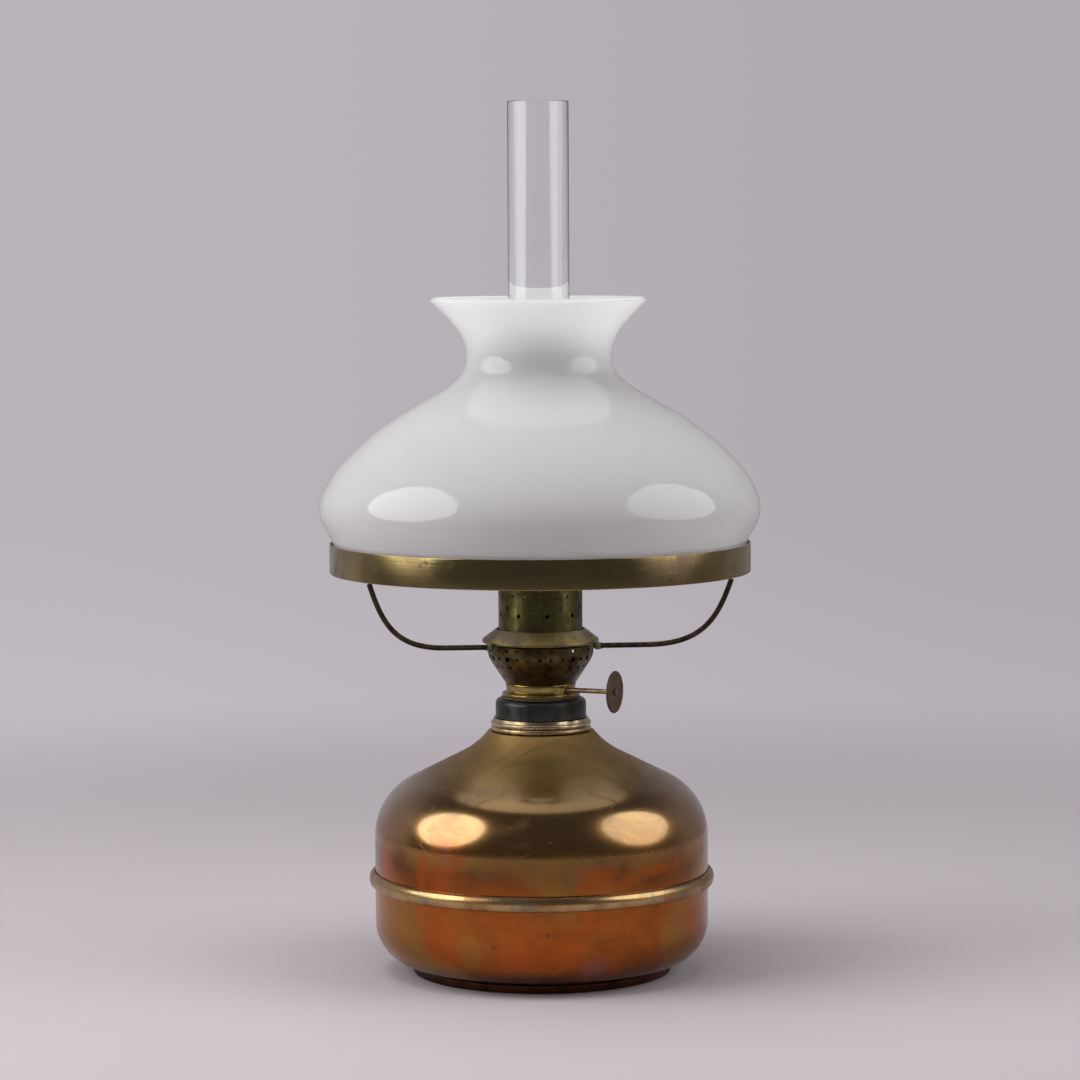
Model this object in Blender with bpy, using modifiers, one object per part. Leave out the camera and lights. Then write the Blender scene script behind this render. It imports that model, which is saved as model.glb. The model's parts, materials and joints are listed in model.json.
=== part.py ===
"""Kerosene table lamp: copper font, round flame burner, chimney, wire shade holder and opal shade.

Lengths are in metres. The lamp stands on the plane z = 0 with its axis on the Z axis, and its front faces -Y.
"""

import math

import bmesh
import bpy
from mathutils import Matrix, Vector

# Clearances shared by all pieces
SEAT_GAP = 0.0003
RUNNING_GAP = 0.0004
CUT_OVERRUN = 0.001
MERGE_DISTANCE = 0.000001

# Facets round the axis
BIG_STEPS = 36
SMALL_STEPS = 24
FINE_STEPS = 12
HOLE_SIDES = 6

# Font, the fuel reservoir
SHEET = 0.0009
FONT_RADIUS = 0.0954
FONT_BOTTOM_ARC_RADIUS = 0.0245
FONT_BOTTOM_ARC_STEPS = 6
SEAM_HEIGHT = 0.0522
LAP_HEIGHT = 0.008
LAP_SLOPE_HEIGHT = 0.0012
SHOULDER_ARC_RADIUS = 0.0363
SHOULDER_SLOPE = math.radians(26.7)
SHOULDER_ARC_STEPS = 6
NECK_ARC_RADIUS = 0.0454
NECK_ARC_SLOPE = math.radians(52.0)
NECK_ARC_STEPS = 4
MOUTH_HEIGHT = 0.1383
MOUTH_FLAT_RADIUS = 0.0304
MOUTH_RADIUS = 0.0225

# Foot ring under the font
FOOT_HEIGHT = 0.0047
FOOT_BOTTOM_RADIUS = 0.0732
FOOT_TOP_RADIUS = 0.0748
FOOT_WIDTH = 0.0042

# Half-round bead that covers the seam
BEAD_PROUD = 0.0034
BEAD_HEIGHT = 0.0088
BEAD_MIDDLE_HEIGHT = 0.0541
BEAD_ARC_STEPS = 6

# Mouth ring with two small beads
MOUTH_RING_HEIGHT = 0.0074
MOUTH_RING_TOP_RADIUS = 0.0270
MOUTH_BEAD_HEIGHT = 0.0029
MOUTH_BEAD_RADIUS = 0.0286
MOUTH_GROOVE_RADIUS = 0.0275

# Screw collar and its rolled thread
COLLAR_RADIUS = 0.0259
COLLAR_HEIGHT = 0.0109
COLLAR_BEVEL_HEIGHT = 0.0025
COLLAR_TOP_RADIUS = 0.0229
COLLAR_BORE_RADIUS = 0.0203
THREAD_PITCH = 0.0032
THREAD_CREST = 0.0010
THREAD_SINK = 0.0002
THREAD_TURNS = 1.5
THREAD_BEVEL_RESOLUTION = 0

# Washer between the collar and the burner
WASHER_THICKNESS = 0.0008
WASHER_RADIUS = 0.0224

# Burner base with its threaded skirt
BASE_FLANGE_RADIUS = 0.0221
BASE_FLANGE_HEIGHT = 0.0017
BASE_WAIST_RADIUS = 0.0195
BASE_WAIST_RISE = 0.0028
BASE_TOP_RADIUS = 0.0200
BASE_HEIGHT = 0.0074
BASE_BORE_RADIUS = 0.0176
SKIRT_RADIUS = 0.0190
SKIRT_BORE_RADIUS = 0.0180
SKIRT_LENGTH = 0.0120
BASE_LEDGE_RADIUS = 0.0160

# Air basket, the perforated bowl
BASKET_SHEET = 0.0007
BASKET_BOTTOM_RADIUS = 0.0204
BASKET_RADIUS = 0.0303
BASKET_HEIGHT = 0.0222
BASKET_WALL_HEIGHT = 0.0037
BASKET_WALL_HANDLE = 0.0050
BASKET_CONE_HANDLE = 0.0120
BASKET_CONE_ANGLE = math.radians(32.0)
BASKET_FLOOR_RADIUS = 0.0165
BASKET_LIP_RADIUS = 0.0250
BASKET_BOWL_STEPS = 4
BASKET_COLUMNS = 14
BASKET_TURN = math.radians(-78.0)
BASKET_HOLE_RADII = (0.0010, 0.0015, 0.0010)
BASKET_HOLE_RISE_SHARES = (0.90, 0.68, 0.46)

# Gallery that holds the chimney
GALLERY_SHEET = 0.0007
GALLERY_RADIUS = 0.0240
GALLERY_FLANGE_RADIUS = 0.0278
GALLERY_HEIGHT = 0.0382
GALLERY_HOLES = 16
GALLERY_HOLE_RADIUS = 0.0014
GALLERY_LOW_HOLE_RISE = 0.0169
GALLERY_HIGH_HOLE_RISE = 0.0280
GALLERY_SLIT_WIDTH = 0.0009
GALLERY_SLITS = 8

# Chimney seat and air diffuser inside the gallery
SEAT_SHEET = 0.0008
SEAT_BORE_RADIUS = 0.0180
SEAT_RISE = 0.0192
DIFFUSER_SHEET = 0.0007
DIFFUSER_RISE = 0.0038
DIFFUSER_HOLES = 12
DIFFUSER_HOLE_RADIUS = 0.0019

# Wick tube, inner air tube and the duct between them
WICK_TUBE_RADIUS = 0.0134
WICK_TUBE_WALL = 0.0006
WICK_TUBE_LENGTH = 0.0631
WICK_TUBE_FLANGE_RADIUS = 0.0173
AIR_TUBE_RADIUS = 0.0098
AIR_TUBE_WALL = 0.0006
DUCT_WIDTH = 0.0100
DUCT_WALL = 0.0006
DUCT_HEIGHT = 0.0135

# Winder inside the wick and its knob outside
SHAFT_RISE = 0.0042
SHAFT_AZIMUTH = math.radians(-23.0)
SHAFT_OFFSET = 0.0053
SHAFT_RADIUS = 0.0014
SHAFT_INNER_END = 0.0062
KNOB_REACH = 0.0470
KNOB_RADIUS = 0.0120
KNOB_THICKNESS = 0.0013
KNOB_EDGE = 0.0004
KNOB_HUB_RADIUS = 0.0026
KNOB_HUB_LENGTH = 0.0022
RIVET_RADIUS = 0.0021
RIVET_HEIGHT = 0.0009
WHEEL_TIP_RADIUS = 0.0040
WHEEL_ROOT_RADIUS = 0.0032
WHEEL_THICKNESS = 0.0010
WHEEL_TEETH = 12
WHEEL_SPACING = 0.0044
CRADLE_RADIUS = 0.0090
CRADLE_SHEET = 0.0008
CRADLE_EAR_SPACING = 0.0090
CRADLE_EAR_WIDTH = 0.0052
CRADLE_EAR_DROP = 0.0086
WHEEL_CLEARANCE = 0.0011
BUSHING_RADIUS = 0.0021
BUSHING_PROUD = 0.0003

# Wick
WICK_RADIUS = 0.0125
WICK_THICKNESS = 0.0024
WICK_PROUD = 0.0015
WICK_SLIT_WIDTH = 0.0016
WICK_GAP_WIDTH = 0.0156
WICK_GAP_TOP_RISE = 0.0020
WICK_TAILS_DROP = 0.0186
WICK_TAIL_WIDTH = 0.0150
WICK_BOTTOM_RISE = 0.0200
WICK_TRAVEL = 0.0060

# Chimney glass
CHIMNEY_GLASS = 0.0015
CHIMNEY_BASE_RADIUS = 0.0228
CHIMNEY_TUBE_RADIUS = 0.0174
CHIMNEY_BASE_HEIGHT = 0.0480
CHIMNEY_SHOULDER_HEIGHT = 0.0120
CHIMNEY_LENGTH = 0.2871
CHIMNEY_SHOULDER_STEPS = 5

# Shade holder
HOLDER_SHEET = 0.0008
HOLDER_TOP_RADIUS = 0.0254
HOLDER_HEIGHT = 0.0082
HOLDER_WIDE_RADIUS = 0.0333
HOLDER_WIDE_RISE = 0.0013
HOLDER_BEAD_HEIGHT = 0.0014
HOLDER_LOWER_RADIUS = 0.0320
HOLDER_LIP_RADIUS = 0.0286
WIRE_RADIUS = 0.0015
ARM_AZIMUTHS = {
    "arm_front_left": math.radians(-54.0),
    "arm_front_right": math.radians(66.0),
    "arm_back": math.radians(186.0),
}
ARM_DROP = 0.0018
ARM_LEVEL_RUN = 0.0310
ARM_CLIMB = 0.0018
ARM_END_INSET = 0.0032
ARM_LEVEL_HANDLE = 0.0330
ARM_END_HANDLE = 0.0250
ARM_END_LEAN = math.radians(20.0)
ARM_STEPS = 12
SOLDER_RADIUS = 0.0024
RING_CLEARANCE = 0.0015
RING_WALL = 0.0009
RING_RISE = 0.0410
RING_HEIGHT = 0.0167
RING_LEDGE_WIDTH = 0.0065
RING_EDGE_ROLL = 0.0006

# Opal shade
SHADE_GLASS = 0.0022
SHADE_MAX_RADIUS = 0.1256
SHADE_BULGE = 0.0080
SHADE_FITTER_HEIGHT = 0.0130
SHADE_MAX_RISE = 0.0349
SHADE_BODY_LOWER_HANDLE = 0.0095
SHADE_FITTER_HANDLE = 0.0060
SHADE_BODY_RISE_HANDLE = 0.0165
SHADE_BODY_SLOPE_HANDLE = 0.0340
SHADE_SLOPE_RADIUS = 0.0750
SHADE_SLOPE_RISE = 0.0909
SHADE_SLOPE_ANGLE = math.radians(31.0)
SHADE_NECK_RADIUS = 0.0415
SHADE_NECK_RISE = 0.1209
SHADE_NECK_LOWER_HANDLE = 0.0135
SHADE_SHOULDER_HANDLE = 0.0230
SHADE_NECK_UPPER_HANDLE = 0.0150
SHADE_RIM_RADIUS = 0.0620
SHADE_RIM_RISE = 0.1529
SHADE_RIM_HANDLE = 0.0120
SHADE_RIM_ANGLE = math.radians(48.0)
SHADE_FLARE_STEPS = 4
SHADE_NECK_STEPS = 4
SHADE_BODY_STEPS = 6
SHADE_SKIRT_STEPS = 2

# Places that follow from the sizes
FONT_BOTTOM = FOOT_HEIGHT + SEAT_GAP
MOUTH_RING_BOTTOM = MOUTH_HEIGHT + SEAT_GAP
COLLAR_BOTTOM = MOUTH_RING_BOTTOM + MOUTH_RING_HEIGHT + SEAT_GAP
COLLAR_TOP = COLLAR_BOTTOM + COLLAR_HEIGHT
WASHER_BOTTOM = COLLAR_TOP + SEAT_GAP
BASE_BOTTOM = WASHER_BOTTOM + WASHER_THICKNESS + SEAT_GAP
BASE_TOP = BASE_BOTTOM + BASE_HEIGHT
SHAFT_HEIGHT = BASE_BOTTOM + SHAFT_RISE
WICK_TUBE_BOTTOM = BASE_BOTTOM + SEAT_GAP
WICK_TUBE_TOP = WICK_TUBE_BOTTOM + WICK_TUBE_LENGTH
BASKET_BOTTOM = BASE_TOP + SEAT_GAP
BASKET_TOP = BASKET_BOTTOM + BASKET_HEIGHT
GALLERY_BOTTOM = BASKET_TOP + SEAT_GAP
GALLERY_TOP = GALLERY_BOTTOM + GALLERY_HEIGHT
GALLERY_BORE = GALLERY_RADIUS - GALLERY_SHEET
DIFFUSER_BOTTOM = GALLERY_BOTTOM + DIFFUSER_RISE
SEAT_BOTTOM = GALLERY_BOTTOM + SEAT_RISE
CHIMNEY_BOTTOM = SEAT_BOTTOM + SEAT_SHEET + SEAT_GAP
CHIMNEY_TOP = CHIMNEY_BOTTOM + CHIMNEY_LENGTH
HOLDER_BOTTOM = BASKET_TOP + SEAT_GAP
CRADLE_BOTTOM = SHAFT_HEIGHT + WHEEL_TIP_RADIUS + WHEEL_CLEARANCE
AIR_TUBE_BOTTOM = CRADLE_BOTTOM + CRADLE_SHEET + SEAT_GAP
DUCT_BOTTOM = AIR_TUBE_BOTTOM + AIR_TUBE_WALL
RING_BOTTOM = HOLDER_BOTTOM + RING_RISE
SHADE_BOTTOM = RING_BOTTOM + RING_WALL + SEAT_GAP
SHADE_FITTER_RADIUS = SHADE_MAX_RADIUS - SHADE_BULGE
RING_RADIUS = SHADE_FITTER_RADIUS + RING_CLEARANCE + RING_WALL
WICK_TOP = WICK_TUBE_TOP + WICK_PROUD
WICK_BOTTOM = FONT_BOTTOM + WICK_BOTTOM_RISE
WICK_TAILS_START = BASE_BOTTOM - WICK_TAILS_DROP
SHAFT_DIRECTION = Vector((math.cos(SHAFT_AZIMUTH), math.sin(SHAFT_AZIMUTH), 0))
SHAFT_SIDE = Vector((math.sin(SHAFT_AZIMUTH), -math.cos(SHAFT_AZIMUTH), 0))
SHAFT_POINT = SHAFT_SIDE * SHAFT_OFFSET + Vector((0, 0, SHAFT_HEIGHT))
SHAFT_TURN = Matrix.Rotation(SHAFT_AZIMUTH, 4, "Z") @ Matrix.Rotation(math.pi / 2, 4, "Y")
SHAFT_FRAME = Matrix.Translation(SHAFT_POINT) @ SHAFT_TURN
THREAD_BOTTOM = COLLAR_BOTTOM + THREAD_PITCH


def clear_scene():
    """Removes every object that the file starts with."""
    for obj in list(bpy.data.objects):
        bpy.data.objects.remove(obj, do_unlink=True)


def new_collection(name):
    collection = bpy.data.collections.new(name)
    bpy.context.scene.collection.children.link(collection)
    return collection


def new_material(name, colour, roughness, metallic):
    """A plain finish with the piece's own colour."""
    material = bpy.data.materials.new(name)
    material.use_nodes = True
    shader = material.node_tree.nodes["Principled BSDF"]
    shader.inputs["Base Color"].default_value = (*colour, 1)
    shader.inputs["Roughness"].default_value = roughness
    shader.inputs["Metallic"].default_value = metallic
    return material


def new_frame(collection, name, parent=None, matrix=None):
    """An empty that carries the pieces of one moving body."""
    frame = bpy.data.objects.new(name, None)
    collection.objects.link(frame)
    frame.parent = parent
    frame.matrix_basis = matrix or Matrix.Identity(4)
    return frame


def place(obj, collection, frame, finish):
    """Puts an object in its collection, on its frame, with its own material."""
    collection.objects.link(obj)
    obj.parent = frame
    obj.data.materials.append(new_material(obj.name, *finish))
    return obj


def world_to_frame(frame):
    """The matrix that brings lamp coordinates into a frame's own."""
    matrix = frame.matrix_basis.copy()
    while frame.parent:
        frame = frame.parent
        matrix = frame.matrix_basis @ matrix
    return matrix.inverted()


def arc(centre, radius, start, end, steps):
    """Points of a circular arc in the radius and height plane."""
    angles = [start + (end - start) * i / steps for i in range(steps + 1)]
    return [(centre[0] + radius * math.cos(a), centre[1] + radius * math.sin(a)) for a in angles]


def bezier(first, first_handle, last_handle, last, steps):
    """Points of a cubic curve, without its last one."""
    points = []
    for i in range(steps):
        t = i / steps
        weights = ((1 - t) ** 3, 3 * t * (1 - t) ** 2, 3 * t ** 2 * (1 - t), t ** 3)
        corners = (first, first_handle, last_handle, last)
        points.append(tuple(sum(w * c[k] for w, c in zip(weights, corners)) for k in range(len(first))))
    return points


def profile_mesh(name, points, closed):
    """A profile in the XZ plane as a chain of edges."""
    mesh = bpy.data.meshes.new(name)
    edges = [(i, i + 1) for i in range(len(points) - 1)]
    if closed:
        edges.append((len(points) - 1, 0))
    mesh.from_pydata([(r, 0, z) for r, z in points], edges, [])
    return mesh


def add_screw(obj, steps):
    screw = obj.modifiers.new("Turn", "SCREW")
    screw.axis = "Z"
    screw.angle = math.tau
    screw.steps = steps
    screw.render_steps = steps
    screw.use_merge_vertices = True
    screw.merge_threshold = MERGE_DISTANCE


def turned(name, points, steps, at=0):
    """A solid of revolution from a closed outline, at a height along its axis."""
    obj = bpy.data.objects.new(name, profile_mesh(name, [(r, z + at) for r, z in points], True))
    add_screw(obj, steps)
    return obj


def spun_sheet(name, points, thickness, steps):
    """A shell of revolution whose outer face is the open outline."""
    obj = bpy.data.objects.new(name, profile_mesh(name, points, False))
    add_screw(obj, steps)
    wall = obj.modifiers.new("Wall", "SOLIDIFY")
    wall.thickness = thickness
    wall.offset = -1
    wall.use_even_offset = True
    return obj


def wire_mesh(name, points, radius, resolution):
    """A round wire along the points as a closed mesh."""
    curve = bpy.data.curves.new(name, "CURVE")
    curve.dimensions = "3D"
    curve.bevel_depth = radius
    curve.bevel_resolution = resolution
    curve.use_fill_caps = True
    spline = curve.splines.new("POLY")
    spline.points.add(len(points) - 1)
    for point, place_on_path in zip(spline.points, points):
        point.co = (*place_on_path, 1)
    guide = bpy.data.objects.new(name, curve)
    bpy.context.scene.collection.objects.link(guide)
    depsgraph = bpy.context.evaluated_depsgraph_get()
    mesh = bpy.data.meshes.new_from_object(guide.evaluated_get(depsgraph))
    bpy.data.objects.remove(guide, do_unlink=True)
    bm = bmesh.new()
    bm.from_mesh(mesh)
    bmesh.ops.remove_doubles(bm, verts=bm.verts, dist=MERGE_DISTANCE)
    bmesh.ops.recalc_face_normals(bm, faces=bm.faces)
    bm.to_mesh(mesh)
    bm.free()
    return mesh


def box_matrix(size, centre, azimuth=0):
    """Places a unit cube as a box turned about the lamp's axis."""
    turn = Matrix.Rotation(azimuth, 4, "Z")
    return turn @ Matrix.Translation(centre) @ Matrix.Diagonal((*size, 1))


def cutter(name, shapes, cutters):
    """One guide object out of boxes, rods and rounder pins, for cutting or joining."""
    bm = bmesh.new()
    for kind, matrix in shapes:
        if kind == "box":
            bmesh.ops.create_cube(bm, size=1, matrix=matrix)
            continue
        sides = HOLE_SIDES if kind == "rod" else FINE_STEPS
        bmesh.ops.create_cone(bm, cap_ends=True, segments=sides, radius1=1, radius2=1, depth=1, matrix=matrix)
    mesh = bpy.data.meshes.new(name)
    bm.to_mesh(mesh)
    bm.free()
    return guide_object(name, mesh, cutters)


def guide_object(name, mesh, cutters):
    obj = bpy.data.objects.new(name, mesh)
    cutters.objects.link(obj)
    obj.hide_render = True
    obj.display_type = "WIRE"
    return obj


def combine(obj, tool, operation):
    step = obj.modifiers.new(operation.title(), "BOOLEAN")
    step.operation = operation
    step.solver = "EXACT"
    step.object = tool


def shaft_hole(start, end, radius=SHAFT_RADIUS + RUNNING_GAP):
    """A rod on the winder shaft's line."""
    place_on_shaft = Matrix.Translation((0, 0, (start + end) / 2))
    return SHAFT_FRAME @ place_on_shaft @ Matrix.Diagonal((radius, radius, end - start, 1))


def upright_rod(radius, length, place_at):
    return Matrix.Translation(place_at) @ Matrix.Diagonal((radius, radius, length, 1))


def thread_crest(name, radius, bottom, cutters, half_turn):
    """One rolled thread crest as a guide that is joined to its wall."""
    count = round(THREAD_TURNS * SMALL_STEPS)
    start = math.pi * half_turn
    points = []
    for i in range(count + 1):
        angle = start + math.tau * i / SMALL_STEPS
        rise = THREAD_PITCH * i / SMALL_STEPS
        points.append((radius * math.cos(angle), radius * math.sin(angle), bottom + rise))
    return guide_object(name, wire_mesh(name, points, THREAD_CREST, THREAD_BEVEL_RESOLUTION), cutters)


def shade_outline():
    """Outer face of the shade from its flared rim down to the fitter."""
    base = SHADE_BOTTOM
    rim = (SHADE_RIM_RADIUS, base + SHADE_RIM_RISE)
    neck = (SHADE_NECK_RADIUS, base + SHADE_NECK_RISE)
    slope = (SHADE_SLOPE_RADIUS, base + SHADE_SLOPE_RISE)
    widest = (SHADE_MAX_RADIUS, base + SHADE_MAX_RISE)
    fitter_top = (SHADE_FITTER_RADIUS, base + SHADE_FITTER_HEIGHT)
    rim_in = SHADE_RIM_HANDLE * math.cos(SHADE_RIM_ANGLE)
    rim_down = SHADE_RIM_HANDLE * math.sin(SHADE_RIM_ANGLE)
    slope_out = math.cos(SHADE_SLOPE_ANGLE)
    slope_down = math.sin(SHADE_SLOPE_ANGLE)
    points = bezier(
        rim,
        (rim[0] - rim_in, rim[1] - rim_down),
        (neck[0], neck[1] + SHADE_NECK_UPPER_HANDLE),
        neck,
        SHADE_FLARE_STEPS,
    )
    points += bezier(
        neck,
        (neck[0], neck[1] - SHADE_NECK_LOWER_HANDLE),
        (slope[0] - SHADE_SHOULDER_HANDLE * slope_out, slope[1] + SHADE_SHOULDER_HANDLE * slope_down),
        slope,
        SHADE_NECK_STEPS,
    )
    points += bezier(
        slope,
        (slope[0] + SHADE_BODY_SLOPE_HANDLE * slope_out, slope[1] - SHADE_BODY_SLOPE_HANDLE * slope_down),
        (widest[0], widest[1] + SHADE_BODY_RISE_HANDLE),
        widest,
        SHADE_BODY_STEPS,
    )
    points += bezier(
        widest,
        (widest[0], widest[1] - SHADE_BODY_LOWER_HANDLE),
        (fitter_top[0], fitter_top[1] + SHADE_FITTER_HANDLE),
        fitter_top,
        SHADE_SKIRT_STEPS,
    )
    return points + [fitter_top, (SHADE_FITTER_RADIUS, base)]


def shoulder_points():
    """Outer face of the font's upper shell, from the mouth down to the seam."""
    wall = FONT_RADIUS
    slope = SHOULDER_SLOPE
    across = math.sin(slope)
    upward = math.cos(slope)
    neck_run = NECK_ARC_RADIUS * (math.sin(NECK_ARC_SLOPE) - across)
    neck_drop = NECK_ARC_RADIUS * (upward - math.cos(NECK_ARC_SLOPE))
    neck_end = (MOUTH_FLAT_RADIUS + neck_run, MOUTH_HEIGHT - neck_drop)
    neck_centre = (neck_end[0] + NECK_ARC_RADIUS * across, neck_end[1] + NECK_ARC_RADIUS * upward)
    neck_start = -math.pi / 2 - NECK_ARC_SLOPE
    neck = arc(neck_centre, NECK_ARC_RADIUS, neck_start, -math.pi / 2 - slope, NECK_ARC_STEPS)
    dome_radius = wall - SHOULDER_ARC_RADIUS
    cone_run = dome_radius + SHOULDER_ARC_RADIUS * across - neck_end[0]
    dome_height = neck_end[1] - cone_run * math.tan(slope) - SHOULDER_ARC_RADIUS * upward
    dome_centre = (dome_radius, dome_height)
    dome = arc(dome_centre, SHOULDER_ARC_RADIUS, math.pi / 2 - slope, 0, SHOULDER_ARC_STEPS)
    return [(MOUTH_RADIUS, MOUTH_HEIGHT)] + neck + dome + [(wall, SEAM_HEIGHT)]


def build_font(font, parts, cutters):
    """The reservoir: two drawn shells, their seam bead, the foot and the threaded mouth."""
    lap_radius = FONT_RADIUS - SHEET - RUNNING_GAP
    bottom_centre = (FONT_RADIUS - FONT_BOTTOM_ARC_RADIUS, FONT_BOTTOM + FONT_BOTTOM_ARC_RADIUS)
    lower = [
        (lap_radius, SEAM_HEIGHT + LAP_HEIGHT),
        (lap_radius, SEAM_HEIGHT),
        (FONT_RADIUS, SEAM_HEIGHT - LAP_SLOPE_HEIGHT),
    ]
    lower += arc(bottom_centre, FONT_BOTTOM_ARC_RADIUS, 0, -math.pi / 2, FONT_BOTTOM_ARC_STEPS)
    lower.append((0, FONT_BOTTOM))
    copper = ((0.36, 0.17, 0.07), 0.35, 1.0)
    place(spun_sheet("font_lower_shell", lower, SHEET, BIG_STEPS), parts, font, copper)
    place(spun_sheet("font_upper_shell", shoulder_points(), SHEET, BIG_STEPS), parts, font, copper)

    foot = [
        (FOOT_TOP_RADIUS, FOOT_HEIGHT),
        (FOOT_BOTTOM_RADIUS, 0),
        (FOOT_BOTTOM_RADIUS - FOOT_WIDTH, 0),
        (FOOT_BOTTOM_RADIUS - FOOT_WIDTH, FOOT_HEIGHT),
    ]
    place(turned("foot_ring", foot, BIG_STEPS), parts, font, ((0.16, 0.07, 0.04), 0.5, 1.0))

    bead_bore = FONT_RADIUS + SEAT_GAP
    bead = [
        (bead_bore + (BEAD_PROUD - SEAT_GAP) * math.cos(a), BEAD_HEIGHT / 2 * math.sin(a))
        for a in [math.pi * (0.5 - i / BEAD_ARC_STEPS) for i in range(BEAD_ARC_STEPS + 1)]
    ]
    seam_bead = turned("seam_bead", bead, BIG_STEPS, BEAD_MIDDLE_HEIGHT)
    place(seam_bead, parts, font, ((0.50, 0.44, 0.28), 0.4, 1.0))

    bead_half = MOUTH_BEAD_HEIGHT / 2
    bead_swell = MOUTH_BEAD_RADIUS - MOUTH_GROOVE_RADIUS
    ring = [(MOUTH_RING_TOP_RADIUS, MOUTH_RING_HEIGHT)]
    for middle in (bead_half * 3, bead_half):
        ring += [
            (MOUTH_GROOVE_RADIUS + bead_swell * math.cos(a), middle + bead_half * math.sin(a))
            for a in (math.pi / 2, math.pi / 4, 0, -math.pi / 4)
        ]
    ring += [
        (MOUTH_GROOVE_RADIUS, 0),
        (COLLAR_BORE_RADIUS, 0),
        (COLLAR_BORE_RADIUS, MOUTH_RING_HEIGHT),
    ]
    mouth = turned("mouth_ring", ring, SMALL_STEPS, MOUTH_RING_BOTTOM)
    place(mouth, parts, font, ((0.30, 0.22, 0.12), 0.4, 1.0))

    collar_outline = [
        (COLLAR_TOP_RADIUS, COLLAR_HEIGHT),
        (COLLAR_RADIUS, COLLAR_HEIGHT - COLLAR_BEVEL_HEIGHT),
        (COLLAR_RADIUS, 0),
        (COLLAR_BORE_RADIUS, 0),
        (COLLAR_BORE_RADIUS, COLLAR_HEIGHT),
    ]
    collar = turned("screw_collar", collar_outline, SMALL_STEPS, COLLAR_BOTTOM)
    place(collar, parts, font, ((0.05, 0.05, 0.045), 0.45, 1.0))
    thread = thread_crest("collar_thread", COLLAR_BORE_RADIUS + THREAD_SINK, THREAD_BOTTOM, cutters, 0)
    combine(collar, thread, "UNION")


def build_burner_shell(washer, burner, parts, cutters):
    """The washer, the threaded base and the perforated basket."""
    washer_outline = [
        (WASHER_RADIUS, WASHER_THICKNESS),
        (WASHER_RADIUS, 0),
        (COLLAR_BORE_RADIUS, 0),
        (COLLAR_BORE_RADIUS, WASHER_THICKNESS),
    ]
    seal = turned("sealing_washer", washer_outline, SMALL_STEPS, WASHER_BOTTOM)
    place(seal, parts, washer, ((0.25, 0.18, 0.12), 0.8, 0.0))

    waist_top = BASE_HEIGHT - BASE_FLANGE_HEIGHT
    base_outline = [
        (BASE_TOP_RADIUS, BASE_HEIGHT),
        (BASE_TOP_RADIUS, waist_top),
        (BASE_WAIST_RADIUS, BASE_WAIST_RISE + BASE_FLANGE_HEIGHT / 2),
        (BASE_WAIST_RADIUS, BASE_WAIST_RISE),
        (BASE_FLANGE_RADIUS, BASE_FLANGE_HEIGHT),
        (BASE_FLANGE_RADIUS, 0),
        (SKIRT_RADIUS, 0),
        (SKIRT_RADIUS, -SKIRT_LENGTH),
        (SKIRT_BORE_RADIUS, -SKIRT_LENGTH),
        (SKIRT_BORE_RADIUS, -BASE_FLANGE_HEIGHT),
        (BASE_LEDGE_RADIUS, -BASE_FLANGE_HEIGHT / 2),
        (BASE_LEDGE_RADIUS, 0),
        (BASE_BORE_RADIUS, 0),
        (BASE_BORE_RADIUS, BASE_HEIGHT),
    ]
    base = turned("burner_base", base_outline, SMALL_STEPS, BASE_BOTTOM)
    place(base, parts, burner, ((0.62, 0.44, 0.14), 0.25, 1.0))
    thread = thread_crest("skirt_thread", SKIRT_RADIUS - THREAD_SINK, THREAD_BOTTOM, cutters, 1)
    combine(base, thread, "UNION")
    hole = shaft_hole(WICK_TUBE_RADIUS, BASE_FLANGE_RADIUS + CUT_OVERRUN, BUSHING_RADIUS + SEAT_GAP)
    combine(base, cutter("base_shaft_hole", [("pin", hole)], cutters), "DIFFERENCE")

    wall_end = (BASKET_RADIUS, BASKET_TOP - BASKET_WALL_HEIGHT)
    cone_end = (BASKET_BOTTOM_RADIUS, BASKET_BOTTOM)
    cone_out = BASKET_CONE_HANDLE * math.sin(BASKET_CONE_ANGLE)
    cone_up = BASKET_CONE_HANDLE * math.cos(BASKET_CONE_ANGLE)
    basket_outline = [(BASKET_LIP_RADIUS, BASKET_TOP), (BASKET_RADIUS, BASKET_TOP)]
    basket_outline += bezier(
        wall_end,
        (wall_end[0], wall_end[1] - BASKET_WALL_HANDLE),
        (cone_end[0] + cone_out, cone_end[1] + cone_up),
        cone_end,
        BASKET_BOWL_STEPS,
    )
    basket_outline += [cone_end, (BASKET_FLOOR_RADIUS, BASKET_BOTTOM)]
    basket = spun_sheet("air_basket", basket_outline, BASKET_SHEET, BASKET_COLUMNS * 2)
    place(basket, parts, burner, ((0.16, 0.11, 0.05), 0.5, 1.0))
    holes = []
    for column in range(BASKET_COLUMNS):
        azimuth = BASKET_TURN + math.tau * column / BASKET_COLUMNS
        for radius, share in zip(BASKET_HOLE_RADII, BASKET_HOLE_RISE_SHARES):
            height = BASKET_BOTTOM + BASKET_HEIGHT * share
            holes.append(("rod", side_rod(radius, BASKET_FLOOR_RADIUS, BASKET_RADIUS, height, azimuth)))
    combine(basket, cutter("basket_holes", holes, cutters), "DIFFERENCE")


def side_rod(radius, start, end, height, azimuth):
    """A rod across a wall, from inside it to past it."""
    reach = end + CUT_OVERRUN - start
    turn = Matrix.Rotation(azimuth, 4, "Z") @ Matrix.Translation((start + reach / 2, 0, height))
    return turn @ Matrix.Rotation(math.pi / 2, 4, "Y") @ Matrix.Diagonal((radius, radius, reach, 1))


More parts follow.
